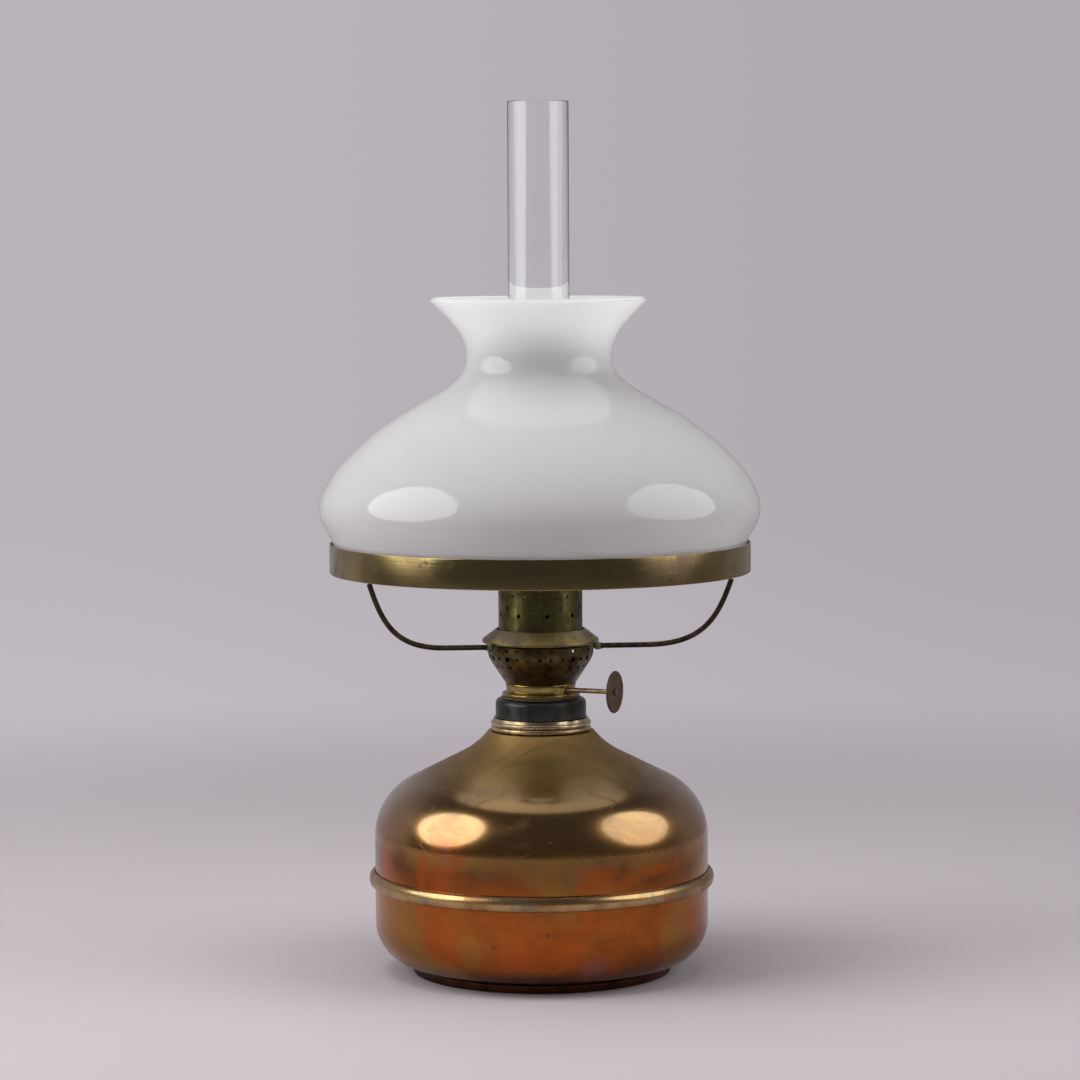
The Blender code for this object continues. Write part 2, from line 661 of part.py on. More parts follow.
def build_gallery(burner, parts, cutters):
    """The perforated cylinder with spring fingers, its chimney seat and its air diffuser."""
    outline = [
        (GALLERY_RADIUS, GALLERY_HEIGHT),
        (GALLERY_RADIUS, GALLERY_SHEET),
        (GALLERY_FLANGE_RADIUS, GALLERY_SHEET),
        (GALLERY_FLANGE_RADIUS, 0),
        (GALLERY_BORE, 0),
        (GALLERY_BORE, GALLERY_HEIGHT),
    ]
    gallery = turned("gallery", outline, SMALL_STEPS, GALLERY_BOTTOM)
    place(gallery, parts, burner, ((0.38, 0.33, 0.13), 0.45, 1.0))
    openings = []
    for i in range(GALLERY_HOLES):
        azimuth = math.tau * (i + 0.5) / GALLERY_HOLES
        for rise in (GALLERY_LOW_HOLE_RISE, GALLERY_HIGH_HOLE_RISE):
            height = GALLERY_BOTTOM + rise
            start = GALLERY_BORE - CUT_OVERRUN
            openings.append(("rod", side_rod(GALLERY_HOLE_RADIUS, start, GALLERY_RADIUS, height, azimuth)))
    slit_height = GALLERY_HEIGHT - GALLERY_HIGH_HOLE_RISE - GALLERY_HOLE_RADIUS * 2 + CUT_OVERRUN
    slit_size = (GALLERY_SHEET + CUT_OVERRUN * 2, GALLERY_SLIT_WIDTH, slit_height)
    slit_centre = (GALLERY_RADIUS - GALLERY_SHEET / 2, 0, GALLERY_TOP + CUT_OVERRUN - slit_height / 2)
    for i in range(GALLERY_SLITS):
        openings.append(("box", box_matrix(slit_size, slit_centre, math.tau * i / GALLERY_SLITS)))
    combine(gallery, cutter("gallery_openings", openings, cutters), "DIFFERENCE")

    rim = GALLERY_BORE - SEAT_GAP
    seat_outline = [(rim, SEAT_SHEET), (rim, 0), (SEAT_BORE_RADIUS, 0), (SEAT_BORE_RADIUS, SEAT_SHEET)]
    seat = turned("chimney_seat", seat_outline, SMALL_STEPS, SEAT_BOTTOM)
    place(seat, parts, burner, ((0.30, 0.24, 0.10), 0.5, 1.0))

    bore = WICK_TUBE_RADIUS + SEAT_GAP
    plate = [(rim, DIFFUSER_SHEET), (rim, 0), (bore, 0), (bore, DIFFUSER_SHEET)]
    diffuser = turned("air_diffuser", plate, SMALL_STEPS, DIFFUSER_BOTTOM)
    place(diffuser, parts, burner, ((0.25, 0.20, 0.09), 0.55, 1.0))
    middle = (rim + bore) / 2
    rods = []
    for i in range(DIFFUSER_HOLES):
        azimuth = math.tau * i / DIFFUSER_HOLES
        spot = (middle * math.cos(azimuth), middle * math.sin(azimuth), DIFFUSER_BOTTOM + DIFFUSER_SHEET / 2)
        rods.append(("rod", upright_rod(DIFFUSER_HOLE_RADIUS, DIFFUSER_SHEET + CUT_OVERRUN * 2, spot)))
    combine(diffuser, cutter("diffuser_holes", rods, cutters), "DIFFERENCE")


def build_wick_tubes(burner, parts, cutters):
    """The outer wick tube, the inner air tube and the duct that feeds it from the knob side."""
    bore = WICK_TUBE_RADIUS - WICK_TUBE_WALL
    outline = [
        (WICK_TUBE_RADIUS, WICK_TUBE_LENGTH),
        (WICK_TUBE_RADIUS, WICK_TUBE_WALL),
        (WICK_TUBE_FLANGE_RADIUS, WICK_TUBE_WALL),
        (WICK_TUBE_FLANGE_RADIUS, 0),
        (bore, 0),
        (bore, WICK_TUBE_LENGTH),
    ]
    brass = ((0.40, 0.30, 0.12), 0.45, 1.0)
    tube = turned("wick_tube", outline, SMALL_STEPS, WICK_TUBE_BOTTOM)
    place(tube, parts, burner, brass)
    port_width = DUCT_WIDTH + SEAT_GAP * 2
    duct_middle = DUCT_BOTTOM + DUCT_HEIGHT / 2
    port_size = (WICK_TUBE_RADIUS, port_width, DUCT_HEIGHT + SEAT_GAP * 2)
    port = box_matrix(port_size, (WICK_TUBE_RADIUS, 0, duct_middle), SHAFT_AZIMUTH)
    combine(tube, cutter("tube_port", [("box", port)], cutters), "DIFFERENCE")
    hole = shaft_hole(bore / 2, WICK_TUBE_FLANGE_RADIUS)
    combine(tube, cutter("tube_shaft_hole", [("pin", hole)], cutters), "DIFFERENCE")

    air_length = WICK_TUBE_TOP - AIR_TUBE_BOTTOM
    air_bore = AIR_TUBE_RADIUS - AIR_TUBE_WALL
    air_outline = [
        (AIR_TUBE_RADIUS, air_length),
        (AIR_TUBE_RADIUS, 0),
        (air_bore, 0),
        (air_bore, air_length),
    ]
    air_tube = turned("air_tube", air_outline, SMALL_STEPS, AIR_TUBE_BOTTOM)
    place(air_tube, parts, burner, brass)
    air_port_size = (AIR_TUBE_RADIUS, port_width, DUCT_HEIGHT + SEAT_GAP * 2)
    air_port = box_matrix(air_port_size, (AIR_TUBE_RADIUS, 0, duct_middle), SHAFT_AZIMUTH)
    combine(air_tube, cutter("air_port", [("box", air_port)], cutters), "DIFFERENCE")

    duct_start = math.sqrt(air_bore ** 2 - (DUCT_WIDTH / 2) ** 2)
    duct_end = WICK_TUBE_RADIUS + DUCT_WALL
    duct_centre = ((duct_start + duct_end) / 2, 0, duct_middle)
    duct_size = (duct_end - duct_start, DUCT_WIDTH, DUCT_HEIGHT)
    bm = bmesh.new()
    bmesh.ops.create_cube(bm, size=1, matrix=box_matrix(duct_size, duct_centre, SHAFT_AZIMUTH))
    mesh = bpy.data.meshes.new("air_duct")
    bm.to_mesh(mesh)
    bm.free()
    duct = place(bpy.data.objects.new("air_duct", mesh), parts, burner, brass)
    hollow = (DUCT_WIDTH, DUCT_WIDTH - DUCT_WALL * 2, DUCT_HEIGHT - DUCT_WALL * 2)
    hollow_box = box_matrix(hollow, duct_centre, SHAFT_AZIMUTH)
    combine(duct, cutter("duct_hollow", [("box", hollow_box)], cutters), "DIFFERENCE")


def build_winder(burner, knob, parts, cutters):
    """The cradle and bushing that carry the shaft, the two spur wheels and the knob."""
    to_burner = world_to_frame(burner)
    plate = [(CRADLE_RADIUS, CRADLE_SHEET), (CRADLE_RADIUS, 0), (0, 0), (0, CRADLE_SHEET)]
    cradle = turned("winder_cradle", plate, FINE_STEPS * 2, CRADLE_BOTTOM)
    place(cradle, parts, burner, ((0.35, 0.26, 0.11), 0.45, 1.0))
    ears = []
    ear_drop = CRADLE_EAR_DROP + CRADLE_SHEET
    for side in (-1, 1):
        centre = SHAFT_DIRECTION * (side * CRADLE_EAR_SPACING / 2) + SHAFT_SIDE * SHAFT_OFFSET
        centre.z = CRADLE_BOTTOM + CRADLE_SHEET - ear_drop / 2
        turn = Matrix.Translation(centre) @ Matrix.Rotation(SHAFT_AZIMUTH, 4, "Z")
        ears.append(("box", turn @ Matrix.Diagonal((CRADLE_SHEET, CRADLE_EAR_WIDTH, ear_drop, 1))))
    combine(cradle, cutter("cradle_ears", ears, cutters), "UNION")
    bearing = shaft_hole(-CRADLE_EAR_SPACING, CRADLE_EAR_SPACING)
    combine(cradle, cutter("cradle_bearings", [("pin", bearing)], cutters), "DIFFERENCE")

    bushing_start = WICK_TUBE_RADIUS + CUT_OVERRUN
    bushing_end = BASE_WAIST_RADIUS + BUSHING_PROUD
    bushing_bore = SHAFT_RADIUS + RUNNING_GAP
    bushing_outline = [
        (BUSHING_RADIUS, bushing_end),
        (BUSHING_RADIUS, bushing_start),
        (bushing_bore, bushing_start),
        (bushing_bore, bushing_end),
    ]
    bushing = turned("shaft_bushing", bushing_outline, FINE_STEPS)
    bushing.matrix_basis = to_burner @ SHAFT_FRAME
    place(bushing, parts, burner, ((0.55, 0.40, 0.15), 0.3, 1.0))

    knob_face = KNOB_REACH + KNOB_THICKNESS
    shaft_outline = [
        (SHAFT_RADIUS, knob_face),
        (SHAFT_RADIUS, -SHAFT_INNER_END),
        (0, -SHAFT_INNER_END),
        (0, knob_face),
    ]
    place(turned("winder_shaft", shaft_outline, FINE_STEPS), parts, knob, ((0.45, 0.33, 0.18), 0.35, 1.0))

    bore = SHAFT_RADIUS + SEAT_GAP
    for side, name in ((-1, "spur_wheel_inner"), (1, "spur_wheel_outer")):
        middle = side * WHEEL_SPACING / 2
        place(spur_wheel(name, middle, bore), parts, knob, ((0.40, 0.30, 0.14), 0.4, 1.0))

    edge = KNOB_EDGE
    disc_outline = [
        (KNOB_RADIUS - edge, KNOB_THICKNESS),
        (KNOB_RADIUS, KNOB_THICKNESS - edge),
        (KNOB_RADIUS, edge),
        (KNOB_RADIUS - edge, 0),
        (bore, 0),
        (bore, KNOB_THICKNESS),
    ]
    disc = turned("knob_disc", disc_outline, SMALL_STEPS, KNOB_REACH)
    place(disc, parts, knob, ((0.10, 0.06, 0.04), 0.45, 1.0))
    hub_outline = [
        (KNOB_HUB_RADIUS, KNOB_HUB_LENGTH),
        (KNOB_HUB_RADIUS, 0),
        (bore, 0),
        (bore, KNOB_HUB_LENGTH),
    ]
    hub = turned("knob_hub", hub_outline, FINE_STEPS, KNOB_REACH - SEAT_GAP - KNOB_HUB_LENGTH)
    place(hub, parts, knob, ((0.40, 0.28, 0.14), 0.35, 1.0))
    rivet_shares = (0, math.sqrt(1 / 2), 1)
    rivet_outline = [
        (RIVET_RADIUS * out, RIVET_HEIGHT * up) for out, up in zip(rivet_shares, reversed(rivet_shares))
    ]
    rivet = turned("knob_rivet", rivet_outline + [(0, 0)], FINE_STEPS, knob_face + SEAT_GAP)
    place(rivet, parts, knob, ((0.45, 0.32, 0.15), 0.35, 1.0))


def spur_wheel(name, middle, bore):
    """A flat toothed wheel on the shaft."""
    bm = bmesh.new()
    count = WHEEL_TEETH * 2
    rings = []
    for height in (middle - WHEEL_THICKNESS / 2, middle + WHEEL_THICKNESS / 2):
        for radii in ((WHEEL_ROOT_RADIUS, WHEEL_TIP_RADIUS), (bore, bore)):
            ring = []
            for i in range(count):
                angle = math.tau * i / count
                radius = radii[i % 2]
                ring.append(bm.verts.new((radius * math.cos(angle), radius * math.sin(angle), height)))
            rings.append(ring)
    low_outer, low_inner, high_outer, high_inner = rings
    for first, second in ((low_inner, low_outer), (low_outer, high_outer), (high_outer, high_inner),
                          (high_inner, low_inner)):
        for i in range(count):
            j = (i + 1) % count
            bm.faces.new((first[i], first[j], second[j], second[i]))
    bmesh.ops.recalc_face_normals(bm, faces=bm.faces)
    mesh = bpy.data.meshes.new(name)
    bm.to_mesh(mesh)
    bm.free()
    return bpy.data.objects.new(name, mesh)


def build_wick(wick, parts, cutters):
    """The curled cotton wick: a closed curl on top, open at the knob side, and two tails below."""
    length = WICK_TOP - WICK_BOTTOM
    bore = WICK_RADIUS - WICK_THICKNESS
    outline = [(WICK_RADIUS, length), (WICK_RADIUS, 0), (bore, 0), (bore, length)]
    curl = turned("wick", outline, SMALL_STEPS, WICK_BOTTOM)
    place(curl, parts, wick, ((0.80, 0.76, 0.66), 0.9, 0.0))
    gap_top = DUCT_BOTTOM + DUCT_HEIGHT + SEAT_GAP + WICK_GAP_TOP_RISE + WICK_TRAVEL
    gap_height = gap_top - WICK_BOTTOM + CUT_OVERRUN
    slit_height = WICK_TOP - gap_top + CUT_OVERRUN * 2
    tails_height = WICK_TAILS_START - WICK_BOTTOM + CUT_OVERRUN
    across = WICK_RADIUS * 2
    cuts = (
        ("wick_gap", (across, WICK_GAP_WIDTH, gap_height), gap_top, WICK_RADIUS),
        ("wick_slit", (across, WICK_SLIT_WIDTH, slit_height), WICK_TOP + CUT_OVERRUN, WICK_RADIUS),
        ("wick_between_tails", (across * 2, across - WICK_TAIL_WIDTH, tails_height), WICK_TAILS_START, 0),
    )
    for name, size, top, reach in cuts:
        matrix = box_matrix(size, (reach, 0, top - size[2] / 2), SHAFT_AZIMUTH)
        combine(curl, cutter(name, [("box", matrix)], cutters), "DIFFERENCE")


def build_chimney(chimney, parts):
    """The glass: a wide base, a rounded shoulder and a long straight tube."""
    drop = CHIMNEY_BASE_RADIUS - CHIMNEY_TUBE_RADIUS
    shoulder_bottom = CHIMNEY_BOTTOM + CHIMNEY_BASE_HEIGHT
    outline = [(CHIMNEY_TUBE_RADIUS, CHIMNEY_TOP)]
    for i in range(CHIMNEY_SHOULDER_STEPS + 1):
        t = i / CHIMNEY_SHOULDER_STEPS
        radius = CHIMNEY_TUBE_RADIUS + drop * (1 - math.cos(math.pi * t)) / 2
        outline.append((radius, shoulder_bottom + CHIMNEY_SHOULDER_HEIGHT * (1 - t)))
    outline.append((CHIMNEY_BASE_RADIUS, CHIMNEY_BOTTOM))
    glass = spun_sheet("chimney", outline, CHIMNEY_GLASS, SMALL_STEPS)
    place(glass, parts, chimney, ((0.90, 0.93, 0.92), 0.05, 0.0))


def build_holder(holder, parts, cutters):
    """The sloped collar, three wire arms with their solder, and the wide ring with its ledge."""
    wide = HOLDER_BOTTOM + HOLDER_WIDE_RISE
    collar_outline = [
        (HOLDER_TOP_RADIUS, HOLDER_BOTTOM + HOLDER_HEIGHT),
        (HOLDER_WIDE_RADIUS, wide + HOLDER_BEAD_HEIGHT / 2),
        (HOLDER_WIDE_RADIUS, wide - HOLDER_BEAD_HEIGHT / 2),
        (HOLDER_LOWER_RADIUS, HOLDER_BOTTOM),
        (HOLDER_LIP_RADIUS, HOLDER_BOTTOM),
    ]
    collar = spun_sheet("holder_collar", collar_outline, HOLDER_SHEET, SMALL_STEPS)
    place(collar, parts, holder, ((0.36, 0.31, 0.14), 0.45, 1.0))

    start_radius = HOLDER_WIDE_RADIUS + SEAT_GAP + WIRE_RADIUS
    start_height = wide - ARM_DROP
    end_radius = RING_RADIUS - ARM_END_INSET
    end_height = RING_BOTTOM - SEAT_GAP - WIRE_RADIUS * math.sin(ARM_END_LEAN)
    bend = (start_radius + ARM_LEVEL_RUN, start_height + ARM_CLIMB)
    end = (end_radius, end_height)
    level = math.atan2(ARM_CLIMB, ARM_LEVEL_RUN)
    bend_handle = (bend[0] + ARM_LEVEL_HANDLE * math.cos(level), bend[1] + ARM_LEVEL_HANDLE * math.sin(level))
    end_in = ARM_END_HANDLE * math.sin(ARM_END_LEAN)
    end_down = ARM_END_HANDLE * math.cos(ARM_END_LEAN)
    end_handle = (end_radius - end_in, end_height - end_down)
    curve = [(start_radius, start_height)] + bezier(bend, bend_handle, end_handle, end, ARM_STEPS) + [end]
    for name, azimuth in ARM_AZIMUTHS.items():
        across = (math.sin(azimuth), -math.cos(azimuth))
        points = [(r * across[0], r * across[1], z) for r, z in curve]
        arm = bpy.data.objects.new(name, wire_mesh(name, points, WIRE_RADIUS, 2))
        arm.data.transform(world_to_frame(holder))
        place(arm, parts, holder, ((0.08, 0.055, 0.05), 0.5, 1.0))
        solder_reach = HOLDER_WIDE_RADIUS + SOLDER_RADIUS
        spot = Vector((solder_reach * across[0], solder_reach * across[1], start_height))
        bm = bmesh.new()
        bmesh.ops.create_uvsphere(
            bm,
            u_segments=FINE_STEPS,
            v_segments=FINE_STEPS // 2,
            radius=SOLDER_RADIUS,
            matrix=Matrix.Translation(spot),
        )
        mesh = bpy.data.meshes.new(name + "_solder")
        bm.to_mesh(mesh)
        bm.free()
        combine(arm, guide_object(name + "_solder", mesh, cutters), "UNION")

    ring_bore = RING_RADIUS - RING_WALL
    roll = RING_EDGE_ROLL
    ring_outline = [
        (RING_RADIUS - roll / 2, RING_HEIGHT),
        (RING_RADIUS, RING_HEIGHT - roll),
        (RING_RADIUS, roll),
        (RING_RADIUS - roll / 2, 0),
        (RING_RADIUS - RING_LEDGE_WIDTH, 0),
        (RING_RADIUS - RING_LEDGE_WIDTH, RING_WALL),
        (ring_bore, RING_WALL),
        (ring_bore, RING_HEIGHT),
    ]
    ring = turned("shade_ring", ring_outline, BIG_STEPS, RING_BOTTOM)
    place(ring, parts, holder, ((0.42, 0.34, 0.14), 0.35, 1.0))


def build_shade(shade, parts):
    """The opal glass shade with its flared top."""
    glass = spun_sheet("shade", shade_outline(), SHADE_GLASS, BIG_STEPS)
    place(glass, parts, shade, ((0.86, 0.88, 0.89), 0.15, 0.0))


def main():
    clear_scene()
    parts = new_collection("kerosene_table_lamp")
    cutters = new_collection("guides")
    font = new_frame(parts, "font_frame")
    washer = new_frame(parts, "burner_washer_frame", font)
    burner = new_frame(parts, "burner_frame", washer)
    wick = new_frame(parts, "wick_frame", burner)
    knob = new_frame(parts, "knob_frame", burner, SHAFT_FRAME)
    chimney = new_frame(parts, "chimney_frame", burner)
    holder = new_frame(parts, "shade_holder_frame", burner)
    shade = new_frame(parts, "shade_frame", holder)
    build_font(font, parts, cutters)
    build_burner_shell(washer, burner, parts, cutters)
    build_gallery(burner, parts, cutters)
    build_wick_tubes(burner, parts, cutters)
    build_winder(burner, knob, parts, cutters)
    build_wick(wick, parts, cutters)
    build_chimney(chimney, parts)
    build_holder(holder, parts, cutters)
    build_shade(shade, parts)


main()
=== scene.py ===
"""Kerosene table lamp: the finished look of a copper font, a round burner, a chimney and an opal shade.

Lengths are in metres. The lamp stands on z = 0 with its axis on the Z axis, and its front faces -Y.
"""

import json
import math

import bmesh
import bpy
from bpy.props import FloatProperty, FloatVectorProperty, IntProperty, PointerProperty
from bpy.types import Operator, Panel, PropertyGroup
from mathutils import Matrix, Vector, noise


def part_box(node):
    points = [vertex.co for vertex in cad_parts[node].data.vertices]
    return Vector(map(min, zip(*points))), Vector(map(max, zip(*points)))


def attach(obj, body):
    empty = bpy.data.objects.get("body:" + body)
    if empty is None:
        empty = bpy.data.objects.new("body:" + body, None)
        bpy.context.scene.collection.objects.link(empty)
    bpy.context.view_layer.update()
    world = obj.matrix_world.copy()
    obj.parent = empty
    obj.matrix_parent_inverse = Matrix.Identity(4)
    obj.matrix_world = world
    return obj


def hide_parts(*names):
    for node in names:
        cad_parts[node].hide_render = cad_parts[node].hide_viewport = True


bl_info = {
    "name": "Kerosene Table Lamp",
    "version": (1, 0, 0),
    "blender": (4, 5, 0),
    "location": "3D View > Sidebar > Lamp",
    "description": "Builds a kerosene table lamp with a copper font, a round burner and an opal shade",
    "category": "Add Mesh",
}

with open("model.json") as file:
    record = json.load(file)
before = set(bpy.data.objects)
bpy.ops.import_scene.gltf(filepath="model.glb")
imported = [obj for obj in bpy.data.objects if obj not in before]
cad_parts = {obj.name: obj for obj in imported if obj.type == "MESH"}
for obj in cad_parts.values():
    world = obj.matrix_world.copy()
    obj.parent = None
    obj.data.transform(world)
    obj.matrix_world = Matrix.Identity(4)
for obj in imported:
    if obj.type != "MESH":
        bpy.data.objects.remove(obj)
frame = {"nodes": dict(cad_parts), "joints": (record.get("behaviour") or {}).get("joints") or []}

# Facets round the axis
FONT_STEPS = 160
SHADE_STEPS = 144
LIGHT_WIDTH = 1.25
LIGHT_DISTANCE = 1.3
LIGHT_AIM_HEIGHT = 0.2
SMALL_STEPS = 96
FINE_STEPS = 40
DRILL_SIDES = 20
MERGE_DISTANCE = 0.000001
SHARP_ANGLE = math.radians(34)

# Font
SHEET = 0.0009
LAP_GAP = 0.0004
LAP_SLOPE = 0.0012
FONT_BOTTOM_ARC = 0.0245
SHOULDER_ARC = 0.0363
SHOULDER_SLOPE = math.radians(26.7)
NECK_ARC = 0.0454
NECK_SLOPE = math.radians(52.0)
MOUTH_FLAT_RADIUS = 0.0304
MOUTH_RADIUS = 0.0225
MOUTH_RING_TOP_RADIUS = 0.0270
MOUTH_BEAD_HEIGHT = 0.0029
COLLAR_ARC = 0.0030
ARC_STEPS = 18
FOOT_WIDTH = 0.0042
EDGE = 0.0003
SOFT_EDGE = 0.0006

# Burner
THREAD_BORE = 0.0203
THREAD_CREST = 0.0010
THREAD_SINK = 0.0002
THREAD_TURNS = 1.5
THREAD_PITCH = 0.0032
SKIRT_RADIUS = 0.0190
SKIRT_WALL = 0.0010
BASE_LEDGE_RADIUS = 0.0160
BASE_BORE = 0.0176
BASE_FLANGE_HEIGHT = 0.0017
BASE_FLANGE_RADIUS = 0.0221
BASE_WAIST_RADIUS = 0.0195
BASE_WAIST_RISE = 0.0028
BASE_TOP_RADIUS = 0.0200
BASKET_SHEET = 0.0007
BASKET_BOTTOM_RADIUS = 0.0204
BASKET_WALL_HEIGHT = 0.0037
BASKET_WALL_HANDLE = 0.0050
BASKET_CONE_HANDLE = 0.0120
BASKET_CONE_ANGLE = math.radians(32)
BASKET_FLOOR_RADIUS = 0.0165
BASKET_LIP_RADIUS = 0.0250
BASKET_COLUMNS = 14
BASKET_TURN = math.radians(-78)
BASKET_ROWS = ((0.90, 0.0010, 0.0007), (0.68, 0.0015, 0.0010), (0.46, 0.0010, 0.0006))
GALLERY_SHEET = 0.0007
GALLERY_RADIUS = 0.0240
GALLERY_COLUMNS = 9
GALLERY_TURN = math.radians(-121)
GALLERY_HOLE_RADIUS = 0.0012
GALLERY_LOW_RISE = 0.0169
GALLERY_HIGH_RISE = 0.0209
GALLERY_TRIANGLE_RISE = 0.0280
GALLERY_TRIANGLE_RADIUS = 0.0016
GALLERY_SLIT_WIDTH = 0.0009
GALLERY_SLIT_LENGTH = 0.0074
GALLERY_SLITS = 8
TUBE_WALL = 0.0006
WICK_SLEEVE_RADIUS = 0.0134
SEAT_BORE = 0.0180
DIFFUSER_HOLES = 24
DIFFUSER_HOLE_RADIUS = 0.0013
SQUARE_SHARE = math.sqrt(0.5)

# Chimney and shade
CHIMNEY_GLASS = 0.0015
CHIMNEY_BASE_HEIGHT = 0.0480
CHIMNEY_SHOULDER = 0.0120
CHIMNEY_TUBE_RADIUS = 0.0174
SHADE_GLASS = 0.0022
SHADE_BULGE = 0.0080
SHADE_FITTER_HEIGHT = 0.0130
SHADE_MAX_RISE = 0.0349
SHADE_SLOPE_RADIUS = 0.0750
SHADE_SLOPE_RISE = 0.0909
SHADE_SLOPE_ANGLE = math.radians(31.0)
SHADE_NECK_RADIUS = 0.0415
SHADE_NECK_RISE = 0.1209
SHADE_RIM_RADIUS = 0.0620
SHADE_RIM_RISE = 0.1529
SHADE_RIM_ANGLE = math.radians(48.0)
SHADE_HANDLES = {
    "rim": 0.0120,
    "neck_upper": 0.0150,
    "neck_lower": 0.0135,
    "shoulder": 0.0230,
    "body_slope": 0.0340,
    "body_rise": 0.0165,
    "body_lower": 0.0095,
    "fitter": 0.0060,
}

# Shade holder
HOLDER_SHEET = 0.0008
HOLDER_TOP_RADIUS = 0.0254
HOLDER_WIDE_RISE = 0.0013
HOLDER_BAND = 0.0014
HOLDER_LOWER_RADIUS = 0.0320
HOLDER_LIP_RADIUS = 0.0286
WIRE_RADIUS = 0.0015
ARM_AZIMUTHS = {"arm_front_left": -54.0, "arm_front_right": 66.0, "arm_back": 186.0}
ARM_DROP = 0.0018
ARM_LEVEL_RUN = 0.0310
ARM_CLIMB = 0.0018
ARM_END_INSET = 0.0032
ARM_LEVEL_HANDLE = 0.0330
ARM_END_HANDLE = 0.0250
ARM_END_LEAN = math.radians(20.0)
SEAT_GAP = 0.0003
SOLDER_RADIUS = 0.0024
RING_WALL = 0.0009
RING_LEDGE = 0.0065


def extent(node):
    """Bottom, top and reach from the axis of a turned node of the frame."""
    low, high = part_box(node)
    return low.z, high.z, high.x


class Bench:
    """Adds nodes to one node tree: the settings go in first, then the sockets."""

    def __init__(self, tree):
        self.tree = tree

    def node(self, kind, settings=None, sockets=None):
        node = self.tree.nodes.new(kind)
        for name, value in (settings or {}).items():
            if name == "stops":
                self.fill_ramp(node.color_ramp, value)
            else:
                setattr(node, name, value)
        for name, value in (sockets or {}).items():
            self.plug(self.find(node.inputs, name), value)
        return node

    def out(self, kind, settings=None, sockets=None, output=0):
        """A node's output, where only that is of use."""
        node = self.node(kind, settings, sockets)
        return self.find(node.outputs, output)

    @staticmethod
    def find(sockets, name):
        if isinstance(name, int):
            return sockets[name]
        for socket in sockets:
            if socket.identifier == name:
                return socket
        return sockets[name]

    def plug(self, socket, value):
        if isinstance(value, Number):
            value = value.socket
        if isinstance(value, bpy.types.NodeSocket):
            self.tree.links.new(value, socket)
        else:
            socket.default_value = value

    @staticmethod
    def fill_ramp(ramp, stops):
        while len(ramp.elements) < len(stops):
            ramp.elements.new(1.0)
        for element, (place, colour) in zip(ramp.elements, stops):
            element.position = place
            element.color = (*colour, 1)

    def number(self, kind, settings=None, sockets=None, output=0):
        return Number(self, self.out(kind, settings, sockets, output))


class Number:
    """A value that varies over a surface: arithmetic on it adds Math nodes."""

    def __init__(self, bench, socket):
        self.bench = bench
        self.socket = socket

    def math(self, operation, *values):
        kind = "ShaderNodeMath"
        return self.bench.number(kind, {"operation": operation}, dict(enumerate(values)))

    def __add__(self, other):
        return self.math("ADD", self, other)

    __radd__ = __add__

    def __sub__(self, other):
        return self.math("SUBTRACT", self, other)

    def __rsub__(self, other):
        return self.math("SUBTRACT", other, self)

    def __mul__(self, other):
        return self.math("MULTIPLY", self, other)

    __rmul__ = __mul__

    def __truediv__(self, other):
        return self.math("DIVIDE", self, other)

    def most(self, other):
        return self.math("MAXIMUM", self, other)

    def sine(self):
        return self.math("SINE", self)

    def cosine(self):
        return self.math("COSINE", self)

    def mask(self, low, high):
        """0 below low, 1 above high, with a soft step between; low may be the higher one."""
        ends = {"From Min": low, "From Max": high}
        kind = "ShaderNodeMapRange"
        return self.bench.number(kind, {"interpolation_type": "SMOOTHSTEP"}, {"Value": self, **ends})


class Finish(Bench):
    """A procedural material on the Principled shader, in the lamp's own coordinates."""

    def __init__(self, name, **constants):
        self.material = bpy.data.materials.new(name)
        self.material.use_nodes = True
        super().__init__(self.material.node_tree)
        self.shader = self.tree.nodes["Principled BSDF"]
        for socket, value in constants.items():
            self.shader.inputs[socket.replace("_", " ")].default_value = value
        self.place = self.out("ShaderNodeTexCoord", output="Object")
        parts = self.node("ShaderNodeSeparateXYZ", None, {0: self.place})
        self.x, self.y, self.height = (Number(self, parts.outputs[i]) for i in range(3))

    def stretched(self, scale, shift=(0, 0, 0), turn=0):
        sockets = {"Scale": scale, "Location": shift, "Rotation": (0, 0, turn)}
        return self.out("ShaderNodeMapping", None, {0: self.place, **sockets})

    def noise(self, scale, detail=4.0, rough=0.55, stretch=(1, 1, 1), shift=(0, 0, 0), warp=0.0):
        sockets = {"Vector": self.stretched(stretch, shift), "Scale": scale, "Detail": detail}
        return self.number("ShaderNodeTexNoise", None, {**sockets, "Roughness": rough, "Distortion": warp})

    def cells(self, scale, stretch=(1, 1, 1), shift=(0, 0, 0), feature="F1"):
        sockets = {"Vector": self.stretched(stretch, shift), "Scale": scale}
        return self.number("ShaderNodeTexVoronoi", {"feature": feature}, sockets)

    def spot(self, centre, size):
        """1 at a place on the lamp, falling to 0 at the size given along each axis."""
        spread = tuple(1 / s for s in size)
        moved = tuple(-c / s for c, s in zip(centre, size))
        vector = self.stretched(spread, moved)
        reach = self.number("ShaderNodeVectorMath", {"operation": "LENGTH"}, {0: vector}, "Value")
        return reach.mask(1.0, 0.0)

    def mix(self, factor, first, second, blend="MIX"):
        colours = {"A_Color": self.rgba(first), "B_Color": self.rgba(second)}
        settings = {"data_type": "RGBA", "blend_type": blend}
        return self.out("ShaderNodeMix", settings, {"Factor_Float": factor, **colours}, "Result_Color")

    @staticmethod
    def rgba(colour):
        return colour if isinstance(colour, bpy.types.NodeSocket) else (*colour[:3], 1)

    def bump(self, height, distance, strength=1.0, normal=None):
        sockets = {"Height": height, "Distance": distance, "Strength": strength}
        if normal is not None:
            sockets["Normal"] = normal
        return self.out("ShaderNodeBump", None, sockets)

    def done(self, **sockets):
        for name, value in sockets.items():
            self.plug(self.shader.inputs[name.replace("_", " ")], value)
        return self.material


